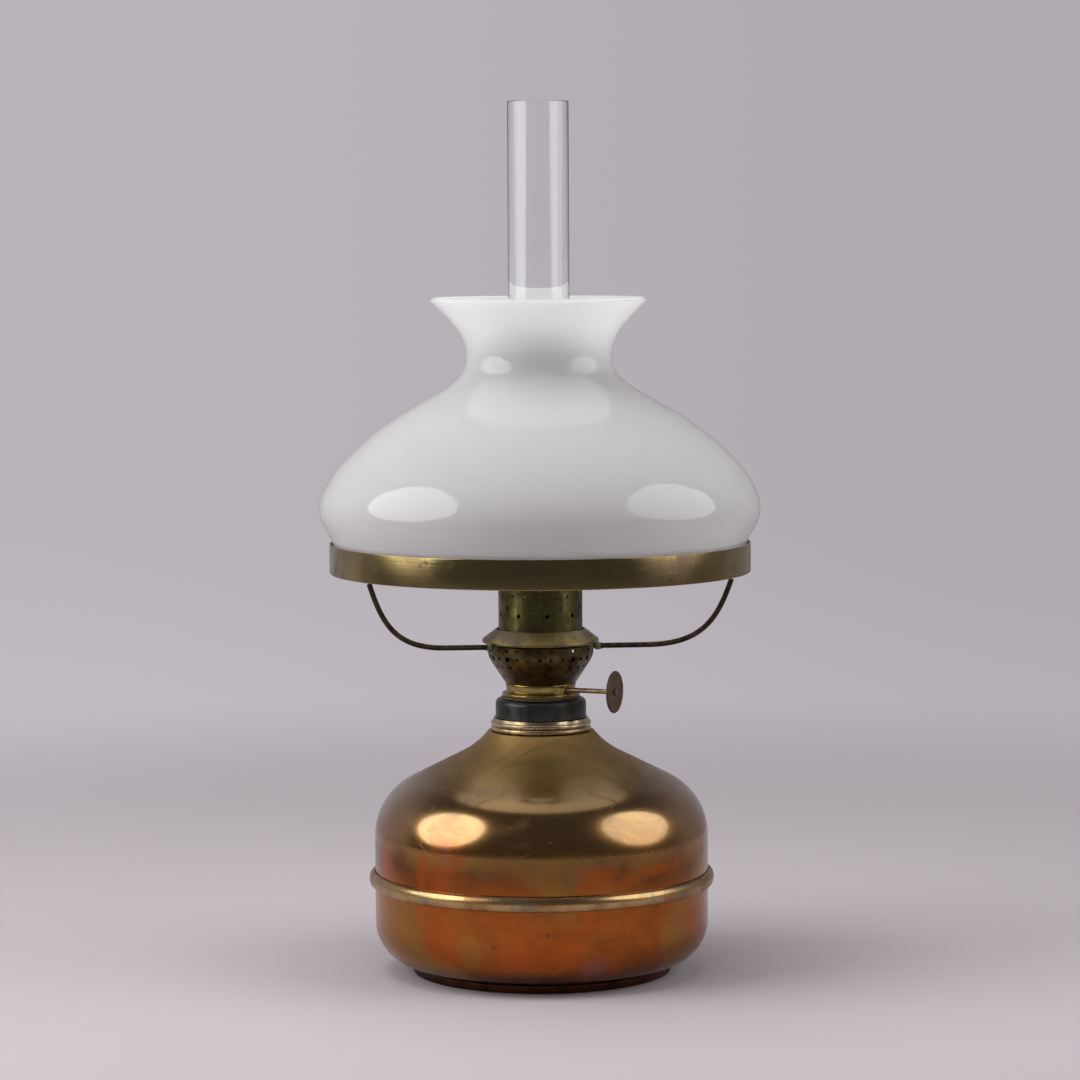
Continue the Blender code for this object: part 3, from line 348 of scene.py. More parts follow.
def aged_metal(name, bright, dull, stain, rough=(0.25, 0.5), grain=60.0, stains=0.5, marks=0.00006):
    """Brass or bronze with cloudy tarnish, darker stains, turning marks and small pits."""
    finish = Finish(name)
    cloud = finish.noise(grain, 5.0, 0.6, warp=0.6).mask(0.40, 0.62)
    patch = finish.noise(grain * 1.9, 6.0, 0.65, shift=(3.1, 0.7, 1.9)).mask(0.52 - 0.1 * stains, 0.70)
    pits = finish.cells(grain * 14).mask(0.16, 0.05) * finish.noise(grain * 4).mask(0.50, 0.66)
    lines = finish.noise(grain * 1.4, 3.0, 0.7, stretch=(0.05, 0.05, 26))
    colour = finish.mix(cloud, bright, dull)
    colour = finish.mix(patch * stains, colour, stain)
    colour = finish.mix(pits * 0.7, colour, tuple(c * 0.3 for c in stain))
    low, high = rough
    roughness = low + (high - low) * (cloud * 0.6 + patch * 0.4) + lines * 0.05
    normal = finish.bump(lines - pits * 1.5, marks, 0.6)
    return finish.done(Base_Color=colour, Roughness=roughness, Metallic=1 - patch * 0.15, Normal=normal)


def font_copper(settings):
    """Copper: olive gold shoulder, red gold bands low down, painted shade towards the bottom, clouds,
    scratches, dark specks.
    """
    finish = Finish("font_copper", Coat_IOR=1.7, Coat_Roughness=0.08)
    drift = finish.noise(14.0, 4.0, 0.55, stretch=(1, 1, 0.6)) * 0.030
    level = finish.height + drift
    olive = tuple(settings.shoulder_colour)
    red = tuple(settings.copper_colour)
    # Colour bands by height: the lowest stops are painted shade, darkening the copper towards the bottom;
    # the stop at 0.60 makes a dark band under the shoulder
    bands_and_painted_shade = finish.out("ShaderNodeValToRGB", {"stops": (
        (0.05, (0.085, 0.032, 0.020)),
        (0.20, (0.27, 0.090, 0.024)),
        (0.34, tuple(c * 1.15 for c in red)),
        (0.50, red),
        (0.60, (0.22, 0.080, 0.024)),
        (0.72, (0.40, 0.205, 0.062)),
        (0.95, olive),
    )}, {0: level / 0.140})
    cloud = finish.noise(26.0, 5.0, 0.62, warp=1.0).mask(0.42, 0.66)
    violet = finish.noise(17.0, 3.0, 0.5, shift=(5.3, 1.2, 0.4), warp=0.8).mask(0.56, 0.68)
    grey = finish.noise(33.0, 5.0, 0.6, shift=(1.3, 8.2, 2.4), warp=0.5).mask(0.60, 0.72)
    low_zone = finish.height.mask(0.100, 0.078)
    gold = finish.noise(11.0, 4.0, 0.5, stretch=(1, 1, 1.4), shift=(0.6, 0.2, 3.3), warp=0.7)
    gold = gold.mask(0.47, 0.62)
    ember = finish.noise(15.0, 4.0, 0.55, shift=(4.4, 2.6, 1.1), warp=0.6).mask(0.52, 0.64)
    colour = finish.mix(cloud * 0.6, bands_and_painted_shade, finish.mix(1.0, bands_and_painted_shade, (0.56, 0.50, 0.46), "MULTIPLY"))
    colour = finish.mix(gold * low_zone * 0.55, colour, (0.36, 0.20, 0.048))
    colour = finish.mix(ember * low_zone * 0.60, colour, (0.46, 0.095, 0.018))
    colour = finish.mix(violet * low_zone * 0.55, colour, (0.30, 0.125, 0.105))
    colour = finish.mix(grey * 0.40, colour, (0.20, 0.15, 0.085))
    speck = finish.cells(210.0, shift=(0.3, 0.2, 0.9)).mask(0.13, 0.04)
    speck = speck * finish.noise(45.0, 3.0, 0.6, shift=(4.0, 2.0, 6.0)).mask(0.50, 0.66)
    rare = finish.cells(75.0, shift=(2.3, 0.2, 4.9)).mask(0.10, 0.03) * 0.8
    dark = speck.most(rare)
    colour = finish.mix(dark * 0.75, colour, (0.055, 0.035, 0.022))
    lines = finish.noise(70.0, 3.0, 0.7, stretch=(0.04, 0.04, 14))
    scratch = finish.cells(30.0, stretch=(1, 1, 3.2), shift=(0.8, 0.1, 0.2), feature="DISTANCE_TO_EDGE")
    scratch = scratch.mask(0.012, 0.002) * finish.noise(22.0, 2.0).mask(0.52, 0.60)
    waves = finish.noise(9.0, 2.0, 0.4)
    patchy = cloud * 0.06 + grey * 0.10 + dark * 0.25 + lines * 0.05 + scratch * 0.1
    roughness = 0.15 + finish.height.mask(0.104, 0.126) * 0.26 + patchy
    soft = finish.bump(waves, 0.0012, 0.35)
    normal = finish.bump(lines * 0.5 - dark - scratch * 0.6, 0.00005, 0.5, soft)
    metal = 1 - dark * 0.5 - grey * 0.12
    coat = finish.height.mask(0.070, 0.095) * finish.height.mask(0.122, 0.104) * 0.7
    return finish.done(
        Base_Color=colour, Roughness=roughness, Metallic=metal, Coat_Weight=coat, Normal=normal)


def ring_brass():
    """The shade ring's brass: gold olive, browner and pink in patches, with rubbed lines and stains."""
    finish = Finish("ring_brass")
    cloud = finish.noise(22.0, 5.0, 0.6, warp=0.8).mask(0.40, 0.64)
    mauve = finish.noise(16.0, 4.0, 0.55, shift=(2.4, 5.1, 0.3)).mask(0.55, 0.66)
    rosy = finish.noise(60.0, 4.0, 0.6, shift=(7.7, 0.4, 1.1)).mask(0.54, 0.66) * mauve
    lines = finish.noise(50.0, 3.0, 0.7, stretch=(0.06, 0.06, 18))
    brown = finish.noise(90.0, 5.0, 0.65, shift=(0.2, 3.3, 5.5)).mask(0.60, 0.70)
    colour = finish.mix(cloud, (0.36, 0.285, 0.125), (0.24, 0.175, 0.075))
    # A darker mauve patch on the ring's front right, mixed into the mauve stains
    patchy = finish.spot((0.075, -0.095, 0.240), (0.050, 0.045, 0.030))
    mauve = mauve.most(patchy * finish.noise(75.0, 4.0, 0.6, shift=(1.2, 4.4, 0.9)).mask(0.38, 0.56))
    colour = finish.mix(mauve * 0.7, colour, (0.15, 0.085, 0.072))
    colour = finish.mix(rosy * 0.7, colour, (0.34, 0.14, 0.14))
    colour = finish.mix(brown * 0.6, colour, (0.10, 0.055, 0.028))
    roughness = 0.14 + cloud * 0.10 + mauve * 0.10 + lines * 0.05
    normal = finish.bump(lines - brown * 0.5, 0.00006, 0.6)
    return finish.done(Base_Color=colour, Roughness=roughness, Metallic=1 - brown * 0.4, Normal=normal)


def collar_black():
    """Blackened collar with a blue green sheen low down, lighter clouds and fine lines."""
    finish = Finish("collar_black")
    cloud = finish.noise(70.0, 4.0, 0.6, stretch=(1, 1, 0.7)).mask(0.42, 0.62)
    low = finish.height.mask(0.1480, 0.1430)
    colour = finish.mix(cloud, (0.030, 0.036, 0.034), (0.070, 0.072, 0.062))
    colour = finish.mix(low * 0.8, colour, (0.13, 0.17, 0.12))
    lines = finish.noise(80.0, 3.0, 0.7, stretch=(0.05, 0.05, 20))
    roughness = 0.26 + cloud * 0.16 + lines * 0.08
    normal = finish.bump(lines, 0.00005, 0.5)
    return finish.done(Base_Color=colour, Roughness=roughness, Metallic=0.9 + cloud * 0.1, Normal=normal)


def shade_opal(colour):
    """Opal glass: milky, glossy, with a very faint cloud and wave in its surface."""
    finish = Finish(
        "shade_opal", Subsurface_Weight=1.0, Subsurface_Scale=0.020, Subsurface_Radius=(1, 1, 1), IOR=1.5)
    cloud = finish.noise(9.0, 3.0, 0.5).mask(0.35, 0.70)
    tint = finish.mix(cloud, tuple(colour), tuple(c * 0.975 for c in colour))
    waves = finish.noise(11.0, 2.0, 0.4, stretch=(1, 1, 1.6))
    dust = finish.noise(300.0, 4.0, 0.6).mask(0.62, 0.72)
    normal = finish.bump(waves, 0.0008, 0.25)
    roughness = 0.02 + cloud * 0.015 + dust * 0.04
    return finish.done(Base_Color=tint, Roughness=roughness, Normal=normal)


def chimney_glass():
    """Clear drawn glass with faint long waves and a little dust."""
    finish = Finish("chimney_glass", Transmission_Weight=1.0, IOR=1.47)
    waves = finish.noise(40.0, 2.0, 0.4, stretch=(1, 1, 0.12))
    dust = finish.noise(260.0, 5.0, 0.65).mask(0.60, 0.74)
    tint = finish.mix(dust * 0.3, (0.985, 0.995, 0.99), (0.93, 0.94, 0.93))
    normal = finish.bump(waves, 0.0004, 0.30)
    return finish.done(Base_Color=tint, Roughness=0.01 + dust * 0.05, Normal=normal)


def wick_cotton():
    """Plaited cotton, cream below and charred brown at the burning edge."""
    finish = Finish("wick_cotton")
    top = extent("wick")[1]
    weave = finish.cells(1150.0, stretch=(1, 1, 0.6)).mask(0.62, 0.10)
    burnt = (finish.height + finish.noise(400.0) * 0.0012).mask(top - 0.0022, top + 0.0002)
    soaked = finish.noise(50.0, 4.0).mask(0.40, 0.70)
    colour = finish.mix(soaked * 0.5, (0.74, 0.68, 0.55), (0.56, 0.49, 0.35))
    # Painted shade: the cotton is pulled towards a dark tan, most at the edges of the weave cells, the
    # grooves between the strands
    colour = finish.mix(weave * 0.35, (0.36, 0.31, 0.23), colour)
    colour = finish.mix(burnt, colour, (0.035, 0.026, 0.020))
    normal = finish.bump(weave, 0.0003, 0.9)
    return finish.done(Base_Color=colour, Roughness=0.95 - soaked * 0.1, Normal=normal)


def washer_fibre():
    """Pressed fibre, dark with oil."""
    finish = Finish("washer_fibre")
    fibres = finish.noise(500.0, 5.0, 0.7, stretch=(1, 1, 3))
    colour = finish.mix(fibres.mask(0.40, 0.65), (0.20, 0.14, 0.085), (0.11, 0.075, 0.05))
    normal = finish.bump(fibres, 0.0001, 0.8)
    return finish.done(Base_Color=colour, Roughness=0.72 + fibres * 0.15, Normal=normal)


def arc(centre, radius, start, end, steps=ARC_STEPS):
    """Points of a circular arc in the radius and height plane."""
    angles = [start + (end - start) * i / steps for i in range(steps + 1)]
    return [(centre[0] + radius * math.cos(a), centre[1] + radius * math.sin(a)) for a in angles]


def bezier(first, first_handle, last_handle, last, steps=ARC_STEPS):
    """Points of a cubic curve, without its last one."""
    points = []
    for i in range(steps):
        t = i / steps
        weights = ((1 - t) ** 3, 3 * t * (1 - t) ** 2, 3 * t ** 2 * (1 - t), t ** 3)
        corners = (first, first_handle, last_handle, last)
        points.append(tuple(sum(w * c[k] for w, c in zip(weights, corners)) for k in (0, 1)))
    return points


def rounded(outline, radius, steps=4):
    """The closed outline with every corner eased by up to the radius."""
    points = []
    count = len(outline)
    for i, corner in enumerate(outline):
        here = Vector(corner)
        back = Vector(outline[i - 1]) - here
        ahead = Vector(outline[(i + 1) % count]) - here
        if here.x < MERGE_DISTANCE:
            points.append(corner)
            continue
        cut = min(radius, back.length * 0.45, ahead.length * 0.45)
        start = here + back.normalized() * cut
        end = here + ahead.normalized() * cut
        for k in range(steps + 1):
            t = k / steps
            points.append(tuple(start * (1 - t) ** 2 + here * 2 * t * (1 - t) + end * t ** 2))
    return points


def shell(points, wall):
    """A closed outline from an open one that is a sheet's outer face, run from top to bottom."""
    inner = []
    for i, point in enumerate(points):
        normals = []
        for a, b in ((i - 1, i), (i, i + 1)):
            if a >= 0 and b < len(points):
                step = (Vector(points[b]) - Vector(points[a])).normalized()
                normals.append(Vector((step.y, -step.x)))
        normal = sum(normals, Vector((0, 0))).normalized()
        mitre = wall / max(normal.dot(normals[0]), 0.4)
        moved = Vector(point) + normal * mitre
        inner.append((0 if point[0] == 0 else moved.x, moved.y))
    return points + inner[::-1]


def geometry_tree(name, inputs):
    """A Geometry Nodes tree with named inputs, its bench and its input node's outputs."""
    tree = bpy.data.node_groups.new(name, "GeometryNodeTree")
    tree.is_modifier = True
    tree.interface.new_socket("Geometry", in_out="INPUT", socket_type="NodeSocketGeometry")
    for label, (kind, value) in inputs.items():
        socket = tree.interface.new_socket(label, in_out="INPUT", socket_type="NodeSocket" + kind)
        if value is not None:
            socket.default_value = value
    tree.interface.new_socket("Geometry", in_out="OUTPUT", socket_type="NodeSocketGeometry")
    bench = Bench(tree)
    return tree, bench, bench.node("NodeGroupInput").outputs


def close_tree(bench, geometry, material):
    """Every tree ends alike: realized, with its material, into the group's output."""
    real = bench.out("GeometryNodeRealizeInstances", None, {0: geometry})
    done = bench.out("GeometryNodeSetMaterial", None, {"Geometry": real, "Material": material})
    bench.node("NodeGroupOutput", None, {0: done})


def turned_tree():
    """Turns the outline that the object's mesh holds round the Z axis."""
    inputs = {
        "Steps": ("Int", SMALL_STEPS), "Merge Distance": ("Float", MERGE_DISTANCE),
        "Material": ("Material", None)}
    tree, bench, given = geometry_tree("Turned piece", inputs)
    outline = given["Geometry"]
    steps = Number(bench, given["Steps"])
    points = bench.number("GeometryNodeAttributeDomainSize", None, {0: outline}, "Point Count")
    sizes = {"Size X": steps, "Size Y": points - 1, "Vertices X": steps + 1, "Vertices Y": points}
    grid = bench.out("GeometryNodeMeshGrid", None, sizes)
    position = bench.out("GeometryNodeInputPosition")
    spot = bench.node("ShaderNodeSeparateXYZ", None, {0: position})
    column = Number(bench, spot.outputs[0]) + steps * 0.5
    row = Number(bench, spot.outputs[1]) + (points - 1) * 0.5
    index = row.math("ROUND", row)
    lookup = {"Geometry": outline, "Value": position, "Index": index}
    sampled = bench.out("GeometryNodeSampleIndex", {"data_type": "FLOAT_VECTOR"}, lookup)
    outline_spot = bench.node("ShaderNodeSeparateXYZ", None, {0: sampled})
    radius = Number(bench, outline_spot.outputs[0])
    angle = column * math.tau / steps
    around = {"X": radius * angle.cosine(), "Y": radius * angle.sine(), "Z": outline_spot.outputs[2]}
    placed = bench.out("ShaderNodeCombineXYZ", None, around)
    moved = bench.out("GeometryNodeSetPosition", None, {"Geometry": grid, "Position": placed})
    merged = bench.out("GeometryNodeMergeByDistance", None, {
        "Geometry": moved, "Distance": given["Merge Distance"]})
    flipped = bench.out("GeometryNodeFlipFaces", None, {0: merged})
    close_tree(bench, flipped, given["Material"])
    return tree


def drilled_tree():
    """Cuts a ring of equal holes or slits through the object's mesh, evenly round the Z axis."""
    inputs = {
        "Count": ("Int", 12),
        "Sides": ("Int", DRILL_SIDES),
        "Half Width": ("Float", 0.001),
        "Half Height": ("Float", 0.001),
        "Depth": ("Float", 0.01),
        "Reach": ("Float", 0.02),
        "Height": ("Float", 0.0),
        "Turn": ("Float", 0.0),
        "Tilt": ("Float", math.pi / 2),
        "Spin": ("Float", 0.0),
        "Material": ("Material", None),
    }
    tree, bench, given = geometry_tree("Drilled ring", inputs)
    tool_sizes = {"Vertices": given["Sides"], "Radius": 1.0, "Depth": 1.0}
    tool = bench.out("GeometryNodeMeshCylinder", None, tool_sizes)
    spin = bench.out("ShaderNodeCombineXYZ", None, {"Z": given["Spin"]})
    tool = bench.out("GeometryNodeTransform", None, {"Geometry": tool, "Rotation": spin})
    scale = {"X": given["Half Height"], "Y": given["Half Width"], "Z": given["Depth"]}
    place = bench.out("ShaderNodeCombineXYZ", None, {"X": given["Reach"], "Z": given["Height"]})
    lie = bench.out("ShaderNodeCombineXYZ", None, {"Y": given["Tilt"]})
    moves = {"Translation": place, "Rotation": lie, "Scale": bench.out("ShaderNodeCombineXYZ", None, scale)}
    tool = bench.out("GeometryNodeTransform", None, {"Geometry": tool, **moves})
    points = bench.out("GeometryNodePoints", None, {"Count": given["Count"]})
    index = bench.number("GeometryNodeInputIndex")
    azimuth = index * math.tau / Number(bench, given["Count"]) + Number(bench, given["Turn"])
    turn = bench.out("ShaderNodeCombineXYZ", None, {"Z": azimuth})
    ring = {"Points": points, "Instance": tool, "Rotation": turn}
    tools = bench.out("GeometryNodeInstanceOnPoints", None, ring)
    tools = bench.out("GeometryNodeRealizeInstances", None, {0: tools})
    cut = bench.node("GeometryNodeMeshBoolean", {"operation": "DIFFERENCE", "solver": "EXACT"})
    bench.plug(bench.find(cut.inputs, "Mesh 1"), given["Geometry"])
    bench.plug(bench.find(cut.inputs, "Mesh 2"), tools)
    close_tree(bench, cut.outputs[0], given["Material"])
    return tree


def wire_tree():
    """Lays a round wire along the path that the object's mesh holds."""
    inputs = {"Radius": ("Float", WIRE_RADIUS), "Sides": ("Int", FINE_STEPS), "Material": ("Material", None)}
    tree, bench, given = geometry_tree("Wire along a path", inputs)
    path = bench.out("GeometryNodeMeshToCurve", None, {0: given["Geometry"]})
    round_bar = bench.out("GeometryNodeCurvePrimitiveCircle", None, {
        "Resolution": given["Sides"], "Radius": given["Radius"]})
    sweep = {"Curve": path, "Profile Curve": round_bar, "Fill Caps": True}
    wire = bench.out("GeometryNodeCurveToMesh", None, sweep)
    close_tree(bench, wire, given["Material"])
    return tree


TREES = {}


def add_tree(obj, make, **values):
    """Puts a tree on an object as a modifier and sets the inputs by their identifiers."""
    if make not in TREES:
        TREES[make] = make()
    tree = TREES[make]
    modifier = obj.modifiers.new(tree.name, "NODES")
    modifier.node_group = tree
    sockets = {s.name: s.identifier for s in tree.interface.items_tree if s.in_out == "INPUT"}
    for name, value in values.items():
        modifier[sockets[name.replace("_", " ")]] = value


def outline_object(name, points, closed):
    """An object whose mesh is a chain of edges in the radius and height plane, or along a path."""
    spots = [(p[0], 0, p[1]) if len(p) == 2 else tuple(p) for p in points]
    if closed:
        spots.append(spots[0])
    mesh = bpy.data.meshes.new(name)
    mesh.from_pydata(spots, [(i, i + 1) for i in range(len(spots) - 1)], [])
    obj = bpy.data.objects.new(name, mesh)
    bpy.context.scene.collection.objects.link(obj)
    return obj


def make_plain(obj, matrix=None):
    """Turns the evaluated object into a plain mesh without modifiers, in its place on the lamp."""
    depsgraph = bpy.context.evaluated_depsgraph_get()
    mesh = bpy.data.meshes.new_from_object(obj.evaluated_get(depsgraph))
    obj.modifiers.clear()
    obj.data = mesh
    if matrix is not None:
        mesh.transform(matrix)
    mesh.shade_smooth()
    mesh.set_sharp_from_angle(angle=SHARP_ANGLE)
    return obj


def fit(obj, body, slot, *nodes):
    """Puts a finished piece on its body and hides the nodes that it stands for; the slot is not used."""
    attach(obj, body)
    if nodes:
        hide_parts(*nodes)
    return obj


def turned(name, outline, material, steps=SMALL_STEPS, matrix=None, drills=()):
    """A turned piece from its closed outline, with rings of holes cut by the drills."""
    obj = outline_object(name, outline, True)
    add_tree(obj, turned_tree, Steps=steps, Material=material)
    for drill in drills:
        add_tree(obj, drilled_tree, Material=material, **drill)
    return make_plain(obj, matrix)


def keep_node(name, material):
    """A node of the frame that stays, with a better finish."""
    obj = frame["nodes"][name]
    obj.data.materials.clear()
    obj.data.materials.append(material)


def shaft_matrix():
    """Brings a piece that is made along Z onto the winder shaft's line, knob end up."""
    joint = next(j for j in frame["joints"] if j["name"] == "wick_knob_turn")
    axis = -Vector(joint["axis"])
    turn = axis.to_track_quat("Z", "Y").to_matrix().to_4x4()
    return Matrix.Translation(joint["pos_m"]) @ turn


def along_shaft(node, matrix):
    """First and last place of a node on the shaft's line, and its reach from it."""
    back = matrix.inverted()
    places = [back @ v.co for v in frame["nodes"][node].data.vertices]
    heights = [p.z for p in places]
    return min(heights), max(heights), max(p.xy.length for p in places)


class LampFontSettings(PropertyGroup):
    copper_colour: FloatVectorProperty(
        name="Copper", description="Colour of the bare copper low on the font", subtype="COLOR",
        default=(0.35, 0.100, 0.021), min=0, max=1)
    shoulder_colour: FloatVectorProperty(
        name="Shoulder", description="Colour of the tarnished shoulder", subtype="COLOR",
        default=(0.36, 0.235, 0.085), min=0, max=1)
    bead_proud: FloatProperty(
        name="Bead", description="How far the seam bead stands out of the wall",
        unit="LENGTH", default=0.0034)
    mouth_groove: FloatProperty(
        name="Groove", description="Depth of the groove in the mouth ring", unit="LENGTH", default=0.0011)


class LampBurnerSettings(PropertyGroup):
    brass_colour: FloatVectorProperty(
        name="Brass", description="Colour of the bright burner base", subtype="COLOR",
        default=(0.34, 0.26, 0.085), min=0, max=1)
    patina_colour: FloatVectorProperty(
        name="Patina", description="Colour of the green gold gallery", subtype="COLOR",
        default=(0.15, 0.14, 0.042), min=0, max=1)
    hole_sides: IntProperty(
        name="Hole sides", description="Facets of each drilled hole", default=DRILL_SIDES, min=6, max=64)


class LampWinderSettings(PropertyGroup):
    knob_colour: FloatVectorProperty(
        name="Knob", description="Colour of the dark knob disc", subtype="COLOR",
        default=(0.155, 0.10, 0.062), min=0, max=1)
    rim_height: FloatProperty(
        name="Rim", description="Height of the pressed rim on the knob disc", unit="LENGTH", default=0.00035)


class LampGlassSettings(PropertyGroup):
    opal_colour: FloatVectorProperty(
        name="Opal", description="Colour of the opal glass", subtype="COLOR",
        default=(0.95, 0.95, 0.935), min=0, max=1)
    chimney_wall: FloatProperty(
        name="Chimney wall", description="Thickness of the clear glass",
        unit="LENGTH", default=CHIMNEY_GLASS)
    shade_wall: FloatProperty(
        name="Shade wall", description="Thickness of the opal glass", unit="LENGTH", default=SHADE_GLASS)


class LampHolderSettings(PropertyGroup):
    wire_radius: FloatProperty(
        name="Wire", description="Radius of the arms' wire", unit="LENGTH", default=WIRE_RADIUS)
    solder_radius: FloatProperty(
        name="Solder", description="Size of the solder at each arm's foot",
        unit="LENGTH", default=SOLDER_RADIUS)


class LampStageSettings(PropertyGroup):
    backdrop_colour: FloatVectorProperty(
        name="Backdrop", description="Colour of the plain backdrop", subtype="COLOR",
        default=(0.463, 0.428, 0.466), min=0, max=1)
    floor_colour: FloatVectorProperty(
        name="Floor", description="Colour of the plain floor", subtype="COLOR",
        default=(0.58, 0.535, 0.562), min=0, max=1)
    key_power: FloatProperty(
        name="Key light", description="Power of the round light on the left in watts", default=12.5)
    top_power: FloatProperty(
        name="Top light", description="Power of the round light overhead in watts", default=11.0)
    fill_power: FloatProperty(
        name="Fill light", description="Power of the round light on the right in watts", default=8.5)
    room_strength: FloatProperty(
        name="Room strength", description="Brightness of the room that the metal mirrors", default=0.17)
    camera_distance: FloatProperty(
        name="Camera distance", description="From the lamp's axis to the camera",
        unit="LENGTH", default=2.166)
    camera_height: FloatProperty(
        name="Camera height", description="Height of the camera over the table",
        unit="LENGTH", default=0.427)
    camera_pitch: FloatProperty(
        name="Camera pitch", description="How far the camera looks down", subtype="ANGLE",
        default=math.radians(4.74))
    camera_roll: FloatProperty(
        name="Camera roll", description="How far the camera leans",
        subtype="ANGLE", default=math.radians(-0.3))
    camera_lens: FloatProperty(
        name="Lens", description="Focal length on a 36 mm sensor in millimetres", default=127.07)


def shoulder_outline(wall, seam, mouth):
    """Outer face of the font's upper shell, from the mouth down to the seam."""
    neck_drop = NECK_ARC * (math.cos(SHOULDER_SLOPE) - math.cos(NECK_SLOPE))
    neck_run = NECK_ARC * (math.sin(NECK_SLOPE) - math.sin(SHOULDER_SLOPE))
    neck_end = (MOUTH_FLAT_RADIUS + neck_run, mouth - neck_drop)
    cone_top_radius = wall - SHOULDER_ARC + SHOULDER_ARC * math.sin(SHOULDER_SLOPE)
    cone_top_height = neck_end[1] - (cone_top_radius - neck_end[0]) * math.tan(SHOULDER_SLOPE)
    dome_centre = (wall - SHOULDER_ARC, cone_top_height - SHOULDER_ARC * math.cos(SHOULDER_SLOPE))
    dome = arc(dome_centre, SHOULDER_ARC, math.pi / 2 - SHOULDER_SLOPE, 0)
    rise = Vector((math.sin(SHOULDER_SLOPE), math.cos(SHOULDER_SLOPE))) * NECK_ARC
    neck_centre = (neck_end[0] + rise.x, neck_end[1] + rise.y)
    neck = arc(neck_centre, NECK_ARC, -math.pi / 2 - NECK_SLOPE, -math.pi / 2 - SHOULDER_SLOPE)
    return [(MOUTH_RADIUS, mouth)] + neck + dome + [(wall, seam)]


class LAMP_OT_build_font(Operator):
    """Builds the font: two copper shells, foot, seam bead, mouth ring and screw collar"""

    bl_idname = "lamp.build_font"
    bl_label = "Font"

    def execute(self, context):
        settings = context.scene.lamp_font
        copper = font_copper(settings)
        bottom, lap_top, wall = extent("font_lower_shell")
        seam, mouth, _ = extent("font_upper_shell")
        lap = wall - SHEET - LAP_GAP
        lower = [(lap, lap_top), (lap, seam), (wall, seam - LAP_SLOPE)]
        lower += arc((wall - FONT_BOTTOM_ARC, bottom + FONT_BOTTOM_ARC), FONT_BOTTOM_ARC, 0, -math.pi / 2)
        lower.append((0, bottom))
        fit(turned("copper_cup", shell(lower, SHEET), copper, FONT_STEPS),
            "font", "font_copper", "font_lower_shell")
        upper = shell(shoulder_outline(wall, seam, mouth), SHEET)
        fit(turned("copper_shoulder", upper, copper, FONT_STEPS), "font", "font_copper", "font_upper_shell")

        foot_bottom, foot_top, foot_radius = extent("foot_ring")
        lower_radius = foot_radius - SOFT_EDGE * 2
        foot = [
            (foot_radius, foot_top),
            (lower_radius, foot_bottom),
            (lower_radius - FOOT_WIDTH, foot_bottom),
            (lower_radius - FOOT_WIDTH, foot_top),
        ]
        # The foot's copper is painted near black, as painted shade under the font's curve
        dark = aged_metal(
            "foot_copper_painted_shade", (0.13, 0.042, 0.022), (0.055, 0.025, 0.017), (0.03, 0.018, 0.013), (0.4, 0.65))
        fit(turned("foot", rounded(foot, SOFT_EDGE), dark, FONT_STEPS), "font", "dark_copper", "foot_ring")

        bead_bottom, bead_top, _ = extent("seam_bead")
        half = (bead_top - bead_bottom) / 2
        bore = wall + SEAT_GAP
        bead = [
            (bore + (settings.bead_proud - SEAT_GAP) * math.cos(a), bead_bottom + half * (1 + math.sin(a)))
            for a in [math.pi * (0.5 - i / ARC_STEPS) for i in range(ARC_STEPS + 1)]
        ]
        pale = aged_metal(
            "bead_brass", (0.50, 0.33, 0.15), (0.34, 0.175, 0.068), (0.19, 0.17, 0.12),
            (0.22, 0.40), 34.0, 0.8)
        fit(turned("bead", bead, pale, FONT_STEPS), "font", "pale_brass", "seam_bead")

        ring_bottom, ring_top, ring_radius = extent("mouth_ring")
        groove = ring_radius - settings.mouth_groove
        half = MOUTH_BEAD_HEIGHT / 2
        ring = [(MOUTH_RING_TOP_RADIUS, ring_top)]
        for middle in (ring_bottom + half * 3, ring_bottom + half):
            ring += [
                (groove + settings.mouth_groove * math.cos(a), middle + half * math.sin(a))
                for a in [math.pi * (0.5 - i / 8) for i in range(9)]
            ]
        ring += [(THREAD_BORE, ring_bottom), (THREAD_BORE, ring_top)]
        bronze = aged_metal(
            "mouth_bronze", (0.60, 0.47, 0.28), (0.30, 0.21, 0.13), (0.09, 0.07, 0.06), (0.2, 0.4))
        fit(turned("mouth_beads", ring, bronze), "font", "bronze", "mouth_ring")

        collar_bottom, collar_top, collar_radius = extent("screw_collar")
        shoulder = arc((collar_radius - COLLAR_ARC, collar_top - COLLAR_ARC), COLLAR_ARC, math.pi / 2, 0, 8)
        collar = shoulder + [
            (collar_radius, collar_bottom),
            (THREAD_BORE, collar_bottom),
            (THREAD_BORE, collar_top),
        ]
        collar = rounded(collar, EDGE)
        fit(turned("collar", collar, collar_black()), "font", "dark_collar", "screw_collar")
        return {"FINISHED"}


def thread_path(radius, bottom, start):
    """A helix of the thread's pitch."""
    count = round(THREAD_TURNS * SMALL_STEPS)
    turns = [math.tau * i / SMALL_STEPS for i in range(count + 1)]
    return [
        (radius * math.cos(start + a), radius * math.sin(start + a), bottom + THREAD_PITCH * a / math.tau)
        for a in turns
    ]


def wire_piece(name, path, radius, material):
    obj = outline_object(name, path, False)
    add_tree(obj, wire_tree, Radius=radius, Sides=FINE_STEPS // 2, Material=material)
    return make_plain(obj)


